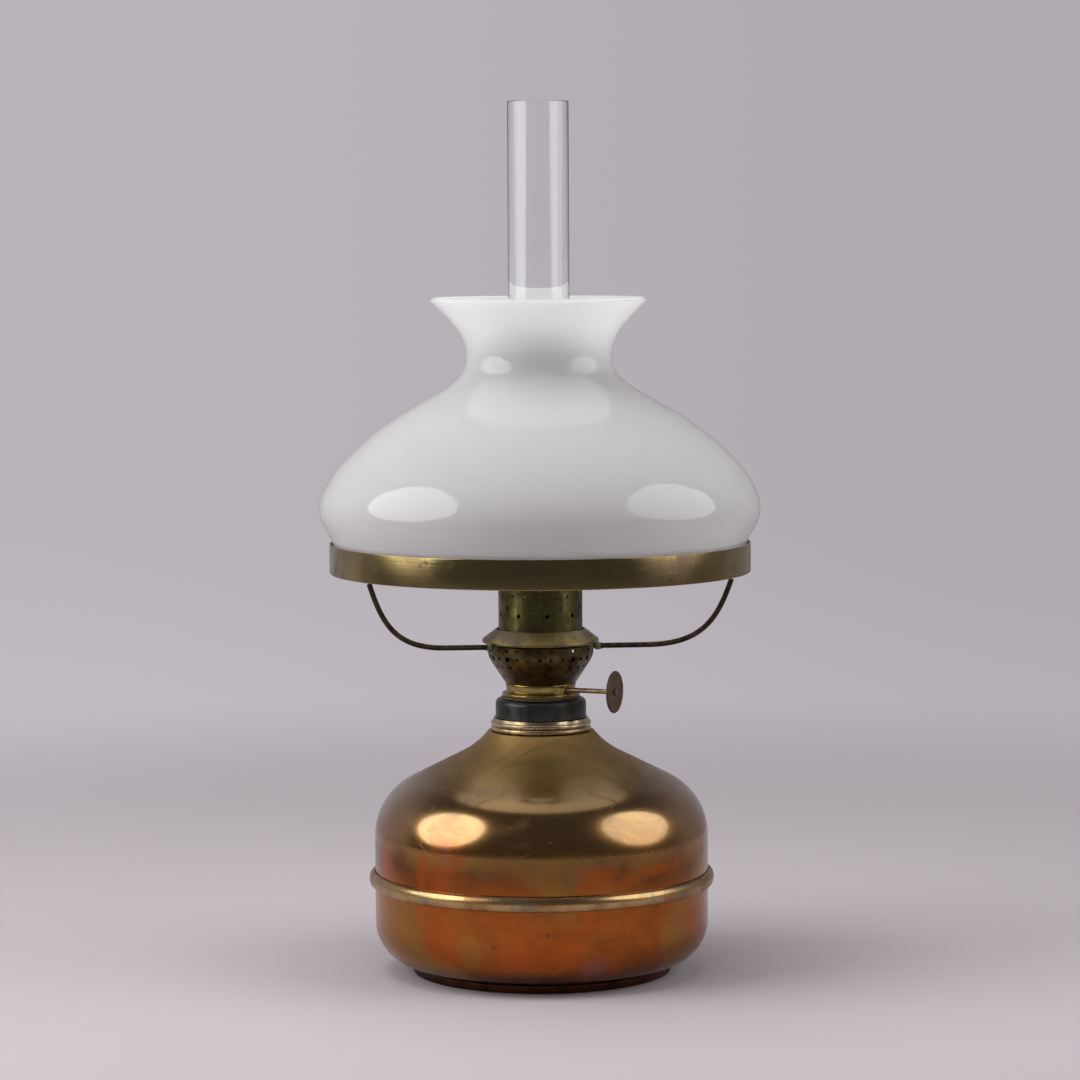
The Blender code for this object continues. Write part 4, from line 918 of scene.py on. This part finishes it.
class LAMP_OT_build_burner(Operator):
    """Builds the burner: washer, base, basket, gallery, seat, diffuser and tubes"""

    bl_idname = "lamp.build_burner"
    bl_label = "Burner"

    def execute(self, context):
        settings = context.scene.lamp_burner
        brass = aged_metal(
            "base_brass", tuple(settings.brass_colour), (0.24, 0.16, 0.045), (0.12, 0.07, 0.025),
            (0.16, 0.30), 90.0, 0.4)
        self.build_base(brass)
        self.build_basket(settings)
        self.build_gallery(settings)
        self.build_tubes()
        return {"FINISHED"}

    def build_base(self, brass):
        low, high, reach = extent("sealing_washer")
        washer = rounded([(reach, high), (reach, low), (THREAD_BORE, low), (THREAD_BORE, high)], EDGE / 2)
        fit(turned("washer", washer, washer_fibre()), "burner_washer", "washer_fibre", "sealing_washer")
        bottom, top, _ = extent("burner_base")
        flange_bottom = high + SEAT_GAP
        waist = flange_bottom + BASE_WAIST_RISE
        outline = [
            (BASE_TOP_RADIUS, top),
            (BASE_TOP_RADIUS, top - BASE_FLANGE_HEIGHT),
            (BASE_WAIST_RADIUS, waist + BASE_FLANGE_HEIGHT / 2),
            (BASE_WAIST_RADIUS, waist),
            (BASE_FLANGE_RADIUS, flange_bottom + BASE_FLANGE_HEIGHT),
            (BASE_FLANGE_RADIUS, flange_bottom),
            (SKIRT_RADIUS, flange_bottom),
            (SKIRT_RADIUS, bottom),
            (SKIRT_RADIUS - SKIRT_WALL, bottom),
            (SKIRT_RADIUS - SKIRT_WALL, flange_bottom - BASE_FLANGE_HEIGHT),
            (BASE_LEDGE_RADIUS, flange_bottom - BASE_FLANGE_HEIGHT / 2),
            (BASE_LEDGE_RADIUS, flange_bottom),
            (BASE_BORE, flange_bottom),
            (BASE_BORE, top),
        ]
        base = turned("base_cup", rounded(outline, SOFT_EDGE), brass)
        fit(base, "burner", "bright_brass", "burner_base")
        start = extent("screw_collar")[0] + THREAD_PITCH
        path = thread_path(SKIRT_RADIUS - THREAD_SINK, start, math.pi)
        fit(wire_piece("skirt_thread", path, THREAD_CREST, brass), "burner", "bright_brass")

    def build_basket(self, settings):
        low, high, reach = extent("air_basket")
        wall_end = (reach, high - BASKET_WALL_HEIGHT)
        cone_out = BASKET_CONE_HANDLE * math.sin(BASKET_CONE_ANGLE)
        cone_up = BASKET_CONE_HANDLE * math.cos(BASKET_CONE_ANGLE)
        outline = [(BASKET_LIP_RADIUS, high), (reach - SOFT_EDGE, high), (reach, high - SOFT_EDGE)]
        outline += bezier(
            wall_end,
            (reach, wall_end[1] - BASKET_WALL_HANDLE),
            (BASKET_BOTTOM_RADIUS + cone_out, low + cone_up),
            (BASKET_BOTTOM_RADIUS, low),
        )
        outline += [(BASKET_BOTTOM_RADIUS, low), (BASKET_FLOOR_RADIUS, low)]
        bronze = aged_metal(
            "basket_bronze", (0.12, 0.080, 0.030), (0.045, 0.028, 0.016), (0.075, 0.068, 0.022),
            (0.28, 0.5), 120.0, 0.7)
        drills = []
        for share, large, small in BASKET_ROWS:
            height = low + (high - low) * share
            for radius, shift in ((large, 0), (small, 0.5)):
                turn = BASKET_TURN + math.tau * shift / BASKET_COLUMNS
                drills.append(self.drill(BASKET_COLUMNS, radius, height, turn, settings.hole_sides))
        basket = turned("basket", shell(outline, BASKET_SHEET), bronze, drills=drills)
        fit(basket, "burner", "bronze", "air_basket")

    @staticmethod
    def drill(count, radius, height, turn, sides, reach=0.0240, depth=0.0160, **more):
        values = {"Count": count, "Sides": sides, "Half_Width": radius, "Half_Height": radius}
        return {**values, "Depth": depth, "Reach": reach, "Height": height, "Turn": turn, **more}

    def build_gallery(self, settings):
        low, high, flange = extent("gallery")
        bore = GALLERY_RADIUS - GALLERY_SHEET
        outline = [
            (GALLERY_RADIUS, high),
            (GALLERY_RADIUS, low + GALLERY_SHEET * 2),
            (GALLERY_RADIUS + GALLERY_SHEET, low + GALLERY_SHEET),
            (flange, low + GALLERY_SHEET),
            (flange, low),
            (bore, low),
            (bore, high),
        ]
        patina = aged_metal(
            "gallery_brass", tuple(settings.patina_colour), (0.085, 0.055, 0.022), (0.045, 0.055, 0.022),
            (0.26, 0.46), 80.0, 0.8)
        sides = settings.hole_sides
        step = math.tau / GALLERY_COLUMNS
        drills = [
            self.drill(GALLERY_COLUMNS, GALLERY_HOLE_RADIUS, low + GALLERY_LOW_RISE, GALLERY_TURN, sides),
            self.drill(GALLERY_COLUMNS, GALLERY_HOLE_RADIUS, low + GALLERY_HIGH_RISE,
                       GALLERY_TURN + step / 2, sides),
            self.drill(GALLERY_COLUMNS * 2, GALLERY_TRIANGLE_RADIUS, low + GALLERY_TRIANGLE_RISE,
                       GALLERY_TURN + step / 4, 3),
            self.drill(GALLERY_SLITS, GALLERY_SLIT_WIDTH / 2 / SQUARE_SHARE, high,
                       0, 4, Half_Height=GALLERY_SLIT_LENGTH / SQUARE_SHARE, Spin=math.pi / 4),
        ]
        eased = rounded(outline, GALLERY_SHEET * 0.4)
        gallery = turned("gallery_cup", eased, patina, drills=drills)
        fit(gallery, "burner", "patina_brass", "gallery")

        inner = bore - SEAT_GAP
        low, high, _ = extent("chimney_seat")
        seat = rounded([(inner, high), (inner, low), (SEAT_BORE, low), (SEAT_BORE, high)], EDGE)
        fit(turned("glass_seat", seat, patina), "burner", "patina_brass", "chimney_seat")
        low, high, _ = extent("air_diffuser")
        tube = WICK_SLEEVE_RADIUS + SEAT_GAP
        plate = rounded([(inner, high), (inner, low), (tube, low), (tube, high)], EDGE)
        drill = self.drill(DIFFUSER_HOLES, DIFFUSER_HOLE_RADIUS, (low + high) / 2, 0, settings.hole_sides,
                           reach=(inner + tube) / 2, depth=(high - low) * 4, Tilt=0.0)
        fit(turned("diffuser", plate, patina, drills=[drill]), "burner", "patina_brass", "air_diffuser")

    def build_tubes(self):
        brass = aged_metal(
            "tube_brass", (0.52, 0.39, 0.16), (0.34, 0.25, 0.10), (0.14, 0.11, 0.06),
            (0.25, 0.45), 110.0, 0.6)
        low, high, flange = extent("wick_tube")
        outer = WICK_SLEEVE_RADIUS
        bore = outer - TUBE_WALL
        tube = [
            (outer, high),
            (outer, low + TUBE_WALL),
            (flange, low + TUBE_WALL),
            (flange, low),
            (bore, low),
            (bore, high),
        ]
        obj = turned("wick_sleeve", rounded(tube, EDGE / 2), brass)
        fit(obj, "burner", "burner_brass", "wick_tube")
        low, high, outer = extent("air_tube")
        bore = outer - TUBE_WALL
        tube = rounded([(outer, high), (outer, low), (bore, low), (bore, high)], EDGE / 2)
        fit(turned("draught_tube", tube, brass), "burner", "burner_brass", "air_tube")
        for node in ("air_duct", "winder_cradle", "spur_wheel_inner", "spur_wheel_outer"):
            keep_node(node, brass)


class LAMP_OT_build_winder(Operator):
    """Builds the winder: shaft, bushing, knob disc, hub and rivet"""

    bl_idname = "lamp.build_winder"
    bl_label = "Winder"

    def execute(self, context):
        settings = context.scene.lamp_winder
        matrix = shaft_matrix()
        brass = aged_metal(
            "shaft_brass", (0.60, 0.44, 0.26), (0.42, 0.29, 0.16), (0.20, 0.13, 0.07),
            (0.22, 0.38), 150.0, 0.5)
        knob = aged_metal(
            "knob_bronze", tuple(settings.knob_colour), (0.105, 0.07, 0.047), (0.20, 0.09, 0.055),
            (0.38, 0.6), 230.0, 0.6, 0.0001)
        low, high, shaft = along_shaft("winder_shaft", matrix)
        bar = rounded([(0, high), (shaft, high), (shaft, low), (0, low)], EDGE)
        fit(turned("shaft", bar, brass, FINE_STEPS, matrix), "knob", "burner_brass", "winder_shaft")
        for node, name, body, metal, slot in (
            ("shaft_bushing", "bushing", "burner", brass, "bright_brass"),
            ("knob_hub", "hub", "knob", brass, "burner_brass"),
        ):
            low, high, outer = along_shaft(node, matrix)
            bore = shaft + SEAT_GAP
            sleeve = rounded([(outer, high), (outer, low), (bore, low), (bore, high)], EDGE)
            fit(turned(name, sleeve, metal, FINE_STEPS, matrix), body, slot, node)
        low, high, outer = along_shaft("knob_disc", matrix)
        bore = shaft + SEAT_GAP
        rim = settings.rim_height
        face = high - rim
        disc = [
            (outer - rim * 3, face),
            (outer - rim * 2, high),
            (outer - rim, high),
            (outer, face),
            (outer, low + rim),
            (outer - rim, low),
            (bore, low),
            (bore, face),
        ]
        fit(turned("knob", rounded(disc, EDGE), knob, SMALL_STEPS, matrix), "knob", "dark_knob", "knob_disc")
        low, high, outer = along_shaft("knob_rivet", matrix)
        cap = [(0, high)] + [
            (outer * math.sin(a), low + (high - low) * math.cos(a))
            for a in [math.pi / 2 * i / 8 for i in range(1, 9)]
        ] + [(0, low)]
        fit(turned("rivet", cap, knob, FINE_STEPS, matrix), "knob", "burner_brass", "knob_rivet")
        return {"FINISHED"}


class LAMP_OT_build_wick(Operator):
    """Builds the cotton wick: the node's own curl, closed up, softened and frayed at the top"""

    bl_idname = "lamp.build_wick"
    bl_label = "Wick"

    def execute(self, context):
        node = frame["nodes"]["wick"]
        mesh = node.data.copy()
        obj = bpy.data.objects.new("cotton_wick", mesh)
        context.scene.collection.objects.link(obj)
        bm = bmesh.new()
        bm.from_mesh(mesh)
        bmesh.ops.remove_doubles(bm, verts=bm.verts, dist=MERGE_DISTANCE)
        bmesh.ops.dissolve_limit(bm, angle_limit=math.radians(1), verts=bm.verts, edges=bm.edges)
        bmesh.ops.triangulate(bm, faces=bm.faces)
        for _ in range(3):
            long_edges = [e for e in bm.edges if e.calc_length() > 0.003]
            bmesh.ops.subdivide_edges(bm, edges=long_edges, cuts=1)
            bmesh.ops.triangulate(bm, faces=bm.faces)
        top = extent("wick")[1]
        for vert in bm.verts:
            fray = noise.noise(vert.co * 900) * 0.0002
            if vert.co.z > top - 0.0005:
                vert.co.z += noise.noise(vert.co * 450) * 0.0004
            vert.co += Vector((vert.co.x, vert.co.y, 0)).normalized() * fray * 0.3
        bm.to_mesh(mesh)
        bm.free()
        mesh.materials.clear()
        mesh.materials.append(wick_cotton())
        mesh.shade_smooth()
        mesh.set_sharp_from_angle(angle=SHARP_ANGLE)
        fit(obj, "wick", "cotton", "wick")
        return {"FINISHED"}


class LAMP_OT_build_chimney(Operator):
    """Builds the chimney glass with its rounded shoulder and fire polished edges"""

    bl_idname = "lamp.build_chimney"
    bl_label = "Chimney"

    def execute(self, context):
        wall = context.scene.lamp_glass.chimney_wall
        low, high, base = extent("chimney")
        drop = base - CHIMNEY_TUBE_RADIUS
        bend = low + CHIMNEY_BASE_HEIGHT
        outline = [(CHIMNEY_TUBE_RADIUS, high)]
        for i in range(ARC_STEPS + 1):
            t = i / ARC_STEPS
            radius = CHIMNEY_TUBE_RADIUS + drop * (1 - math.cos(math.pi * t)) / 2
            outline.append((radius, bend + CHIMNEY_SHOULDER * (1 - t)))
        outline.append((base, low))
        glass = turned("chimney_glass", rounded(shell(outline, wall), wall * 0.45), chimney_glass())
        fit(glass, "chimney", "clear_glass", "chimney")
        return {"FINISHED"}


class LAMP_OT_build_holder(Operator):
    """Builds the shade holder: sloped collar, three soldered wire arms and the wide ring"""

    bl_idname = "lamp.build_holder"
    bl_label = "Shade holder"

    def execute(self, context):
        settings = context.scene.lamp_holder
        low, high, wide_radius = extent("holder_collar")
        wide = low + HOLDER_WIDE_RISE
        outline = [
            (HOLDER_TOP_RADIUS, high),
            (wide_radius - SOFT_EDGE, wide + HOLDER_BAND * 0.9),
            (wide_radius, wide + HOLDER_BAND / 2),
            (wide_radius, wide - HOLDER_BAND / 2),
            (HOLDER_LOWER_RADIUS, low),
            (HOLDER_LIP_RADIUS, low),
        ]
        patina = aged_metal(
            "holder_brass", (0.32, 0.24, 0.095), (0.19, 0.145, 0.085), (0.12, 0.10, 0.08),
            (0.30, 0.46), 70.0, 0.6)
        collar = turned("holder_cone", rounded(shell(outline, HOLDER_SHEET), EDGE), patina)
        fit(collar, "shade_holder", "patina_brass", "holder_collar")

        wire = aged_metal(
            "wire_brown", (0.055, 0.038, 0.026), (0.028, 0.019, 0.016), (0.10, 0.075, 0.035),
            (0.3, 0.5), 90.0, 0.6)
        solder = aged_metal(
            "solder_green", (0.30, 0.31, 0.17), (0.15, 0.17, 0.09), (0.07, 0.07, 0.05),
            (0.4, 0.6), 400.0, 0.7)
        ring_low, ring_high, ring_radius = extent("shade_ring")
        start = (wide_radius + SEAT_GAP + settings.wire_radius, wide - ARM_DROP)
        path = self.arm_path(start, ring_low, ring_radius, settings.wire_radius)
        solder_reach = wide_radius + settings.solder_radius
        for name, degrees in ARM_AZIMUTHS.items():
            azimuth = math.radians(degrees)
            across = (math.sin(azimuth), -math.cos(azimuth))
            points = [(r * across[0], r * across[1], z) for r, z in path]
            arm = wire_piece(name.replace("arm", "wire"), points, settings.wire_radius, wire)
            fit(arm, "shade_holder", "dark_wire", name)
            foot = Vector((solder_reach * across[0], solder_reach * across[1], start[1]))
            lump = self.solder(name.replace("arm", "solder"), foot, azimuth, settings.solder_radius, solder)
            fit(lump, "shade_holder", "patina_brass")

        bore = ring_radius - RING_WALL
        ring = [
            (ring_radius, ring_high),
            (ring_radius, ring_low),
            (ring_radius - RING_LEDGE, ring_low),
            (ring_radius - RING_LEDGE, ring_low + RING_WALL),
            (bore, ring_low + RING_WALL),
            (bore, ring_high),
        ]
        band = turned("ring_band", rounded(ring, RING_WALL * 0.45), ring_brass(), SHADE_STEPS)
        fit(band, "shade_holder", "aged_brass", "shade_ring")
        return {"FINISHED"}

    @staticmethod
    def arm_path(start, ring_bottom, ring_radius, wire_radius):
        end_radius = ring_radius - ARM_END_INSET
        end_height = ring_bottom - SEAT_GAP - wire_radius * math.sin(ARM_END_LEAN)
        bend = (start[0] + ARM_LEVEL_RUN, start[1] + ARM_CLIMB)
        level = math.atan2(ARM_CLIMB, ARM_LEVEL_RUN)
        lean = ARM_END_LEAN
        path = [start] + bezier(
            bend,
            (bend[0] + ARM_LEVEL_HANDLE * math.cos(level), bend[1] + ARM_LEVEL_HANDLE * math.sin(level)),
            (end_radius - ARM_END_HANDLE * math.sin(lean), end_height - ARM_END_HANDLE * math.cos(lean)),
            (end_radius, end_height),
            48,
        )
        return path + [(end_radius, end_height)]

    @staticmethod
    def solder(name, spot, azimuth, radius, material):
        """A small uneven lump of solder over the wire's end."""
        bm = bmesh.new()
        bmesh.ops.create_icosphere(bm, subdivisions=4, radius=1)
        turn = Matrix.Rotation(azimuth, 3, "Z")
        for vert in bm.verts:
            uneven = 1 + 0.22 * noise.noise(vert.co * 1.7 + spot * 100)
            shape = Vector((vert.co.x * 0.95, vert.co.y * 1.25, vert.co.z * 0.9)) * radius * uneven
            vert.co = spot + turn @ shape
        mesh = bpy.data.meshes.new(name)
        bm.to_mesh(mesh)
        bm.free()
        mesh.materials.append(material)
        mesh.shade_smooth()
        obj = bpy.data.objects.new(name, mesh)
        bpy.context.scene.collection.objects.link(obj)
        return obj


def shade_outline(bottom, widest_radius):
    """Outer face of the shade, from its flared rim down to the fitter."""
    handles = SHADE_HANDLES
    rim = (SHADE_RIM_RADIUS, bottom + SHADE_RIM_RISE)
    neck = (SHADE_NECK_RADIUS, bottom + SHADE_NECK_RISE)
    slope = (SHADE_SLOPE_RADIUS, bottom + SHADE_SLOPE_RISE)
    widest = (widest_radius, bottom + SHADE_MAX_RISE)
    fitter = (widest_radius - SHADE_BULGE, bottom + SHADE_FITTER_HEIGHT)
    rim_way = Vector((math.cos(SHADE_RIM_ANGLE), math.sin(SHADE_RIM_ANGLE))) * handles["rim"]
    slope_way = Vector((math.cos(SHADE_SLOPE_ANGLE), -math.sin(SHADE_SLOPE_ANGLE)))
    before = Vector(slope) - slope_way * handles["shoulder"]
    after = Vector(slope) + slope_way * handles["body_slope"]
    points = bezier(rim, tuple(Vector(rim) - rim_way), (neck[0], neck[1] + handles["neck_upper"]), neck)
    points += bezier(neck, (neck[0], neck[1] - handles["neck_lower"]), tuple(before), slope)
    points += bezier(slope, tuple(after), (widest[0], widest[1] + handles["body_rise"]), widest,
        ARC_STEPS * 2)
    points += bezier(
        widest, (widest[0], widest[1] - handles["body_lower"]), (fitter[0], fitter[1] + handles["fitter"]),
        fitter)
    return points + [fitter, (fitter[0], bottom)]


class LAMP_OT_build_shade(Operator):
    """Builds the opal shade with its flared top"""

    bl_idname = "lamp.build_shade"
    bl_label = "Shade"

    def execute(self, context):
        settings = context.scene.lamp_glass
        bottom, _, widest = extent("shade")
        outline = shell(shade_outline(bottom, widest), settings.shade_wall)
        glass = turned("opal_shade", outline, shade_opal(settings.opal_colour), SHADE_STEPS)
        fit(glass, "shade", "opal_glass", "shade")
        return {"FINISHED"}


class LAMP_OT_build_stage(Operator):
    """Builds the floor, the backdrop, two round lights and the camera"""

    bl_idname = "lamp.build_stage"
    bl_label = "Stage"

    def execute(self, context):
        settings = context.scene.lamp_stage
        self.build_world(context.scene, settings)
        self.build_floor(context.scene, settings)
        self.add_light("key_light", -73, 25, settings.key_power)
        self.add_light("fill_light", 76, 25, settings.fill_power)
        top_light = self.add_light("top_light", -60, 80, settings.top_power)
        top_light.visible_glossy = False
        data = bpy.data.cameras.new("camera")
        data.lens = settings.camera_lens
        camera = bpy.data.objects.new("camera", data)
        context.scene.collection.objects.link(camera)
        spot = Matrix.Translation((0, -settings.camera_distance, settings.camera_height))
        tilt = Matrix.Rotation(math.pi / 2 - settings.camera_pitch, 4, "X")
        camera.matrix_world = spot @ tilt @ Matrix.Rotation(settings.camera_roll, 4, "Z")
        context.scene.camera = camera
        context.scene.view_settings.view_transform = "Standard"
        return {"FINISHED"}

    @staticmethod
    def add_light(name, degrees, rise_degrees, power):
        """A round soft light that faces the lamp, at an angle from the camera's side and over the table."""
        data = bpy.data.lights.new(name, "AREA")
        data.shape = "DISK"
        data.size = LIGHT_WIDTH
        data.energy = power
        light = bpy.data.objects.new(name, data)
        bpy.context.scene.collection.objects.link(light)
        azimuth = math.radians(degrees)
        elevation = math.radians(rise_degrees)
        flat = math.cos(elevation)
        way = Vector((math.sin(azimuth) * flat, -math.cos(azimuth) * flat, math.sin(elevation)))
        aim = Vector((0, 0, LIGHT_AIM_HEIGHT))
        turn = way.to_track_quat("Z", "Y").to_matrix().to_4x4()
        light.matrix_world = Matrix.Translation(aim + way * LIGHT_DISTANCE) @ turn
        light.visible_camera = False
        return light

    @staticmethod
    def build_world(scene, settings):
        """A pale backdrop with painted light, lighter on the left and below the horizon, and a darker room
        behind the camera.
        """
        world = bpy.data.worlds.new("studio")
        world.use_nodes = True
        bench = Bench(world.node_tree)
        world.node_tree.nodes.clear()
        sky = bench.out("ShaderNodeTexCoord", output="Generated")
        way = bench.node("ShaderNodeSeparateXYZ", None, {0: sky})
        across, depth, rise = (Number(bench, way.outputs[i]) for i in range(3))
        paper = depth.mask(0.05, 0.45) * rise.mask(0.80, 0.30) * (across.mask(0.6, -0.6) * 0.30 + 0.35)
        room = paper + settings.room_strength
        path = bench.node("ShaderNodeLightPath")
        through = Number(bench, path.outputs["Is Transmission Ray"])
        seen = Number(bench, path.outputs["Is Camera Ray"]).most(through)
        # Painted light on the backdrop: lighter on the left, where the key light falls, and lighter below
        # the horizon
        painted_backdrop_light = (across.mask(0.16, -0.16) * 0.14 + 0.93) * (rise.mask(-0.07, -0.14) * 0.08 + 1)
        level = seen * painted_backdrop_light + (1 - seen) * room
        colour = (*settings.backdrop_colour, 1)
        background = bench.out("ShaderNodeBackground", None, {"Color": colour, "Strength": level})
        bench.node("ShaderNodeOutputWorld", None, {0: background})
        scene.world = world

    @staticmethod
    def build_floor(scene, settings):
        """A round floor that fades into the backdrop."""
        bm = bmesh.new()
        bmesh.ops.create_circle(bm, cap_ends=True, segments=SMALL_STEPS, radius=6.0)
        mesh = bpy.data.meshes.new("floor")
        bm.to_mesh(mesh)
        bm.free()
        floor = bpy.data.objects.new("floor", mesh)
        scene.collection.objects.link(floor)
        finish = Finish("floor_paper")
        finish.tree.nodes.remove(finish.shader)
        square = finish.x * finish.x + finish.y * finish.y
        reach = square.math("SQRT", square)
        near = finish.out("ShaderNodeBsdfDiffuse", None, {"Color": (*settings.floor_colour, 1)})
        far = finish.out("ShaderNodeBsdfTransparent")
        fade = {0: reach.mask(0.32, 1.30), 1: near, 2: far}
        mixed = finish.out("ShaderNodeMixShader", None, fade)
        output = next(n for n in finish.tree.nodes if n.type == "OUTPUT_MATERIAL")
        finish.plug(output.inputs[0], mixed)
        mesh.materials.append(finish.material)


class VIEW3D_PT_kerosene_lamp(Panel):
    """Lists the lamp's sizes, colours and build steps"""

    bl_idname = "VIEW3D_PT_kerosene_lamp"
    bl_label = "Kerosene lamp"
    bl_space_type = "VIEW_3D"
    bl_region_type = "UI"
    bl_category = "Lamp"

    def draw(self, context):
        layout = self.layout
        for name in SETTINGS:
            box = layout.box()
            group = getattr(context.scene, name)
            for key in group.__annotations__:
                box.prop(group, key)
        for operator in OPERATORS:
            layout.operator(operator.bl_idname)


SETTINGS = {
    "lamp_font": LampFontSettings,
    "lamp_burner": LampBurnerSettings,
    "lamp_winder": LampWinderSettings,
    "lamp_glass": LampGlassSettings,
    "lamp_holder": LampHolderSettings,
    "lamp_stage": LampStageSettings,
}
OPERATORS = (
    LAMP_OT_build_font,
    LAMP_OT_build_burner,
    LAMP_OT_build_winder,
    LAMP_OT_build_wick,
    LAMP_OT_build_chimney,
    LAMP_OT_build_holder,
    LAMP_OT_build_shade,
    LAMP_OT_build_stage,
)


def register():
    for name, group in SETTINGS.items():
        bpy.utils.register_class(group)
        setattr(bpy.types.Scene, name, PointerProperty(type=group))
    for operator in OPERATORS:
        bpy.utils.register_class(operator)
    bpy.utils.register_class(VIEW3D_PT_kerosene_lamp)


def unregister():
    bpy.utils.unregister_class(VIEW3D_PT_kerosene_lamp)
    for operator in reversed(OPERATORS):
        bpy.utils.unregister_class(operator)
    for name, group in SETTINGS.items():
        delattr(bpy.types.Scene, name)
        bpy.utils.unregister_class(group)


def main():
    """Builds the whole lamp on its frame."""
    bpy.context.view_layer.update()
    register()
    bpy.ops.lamp.build_font()
    bpy.ops.lamp.build_burner()
    bpy.ops.lamp.build_winder()
    bpy.ops.lamp.build_wick()
    bpy.ops.lamp.build_chimney()
    bpy.ops.lamp.build_holder()
    bpy.ops.lamp.build_shade()
    bpy.ops.lamp.build_stage()


if __name__ == "__main__":
    main()
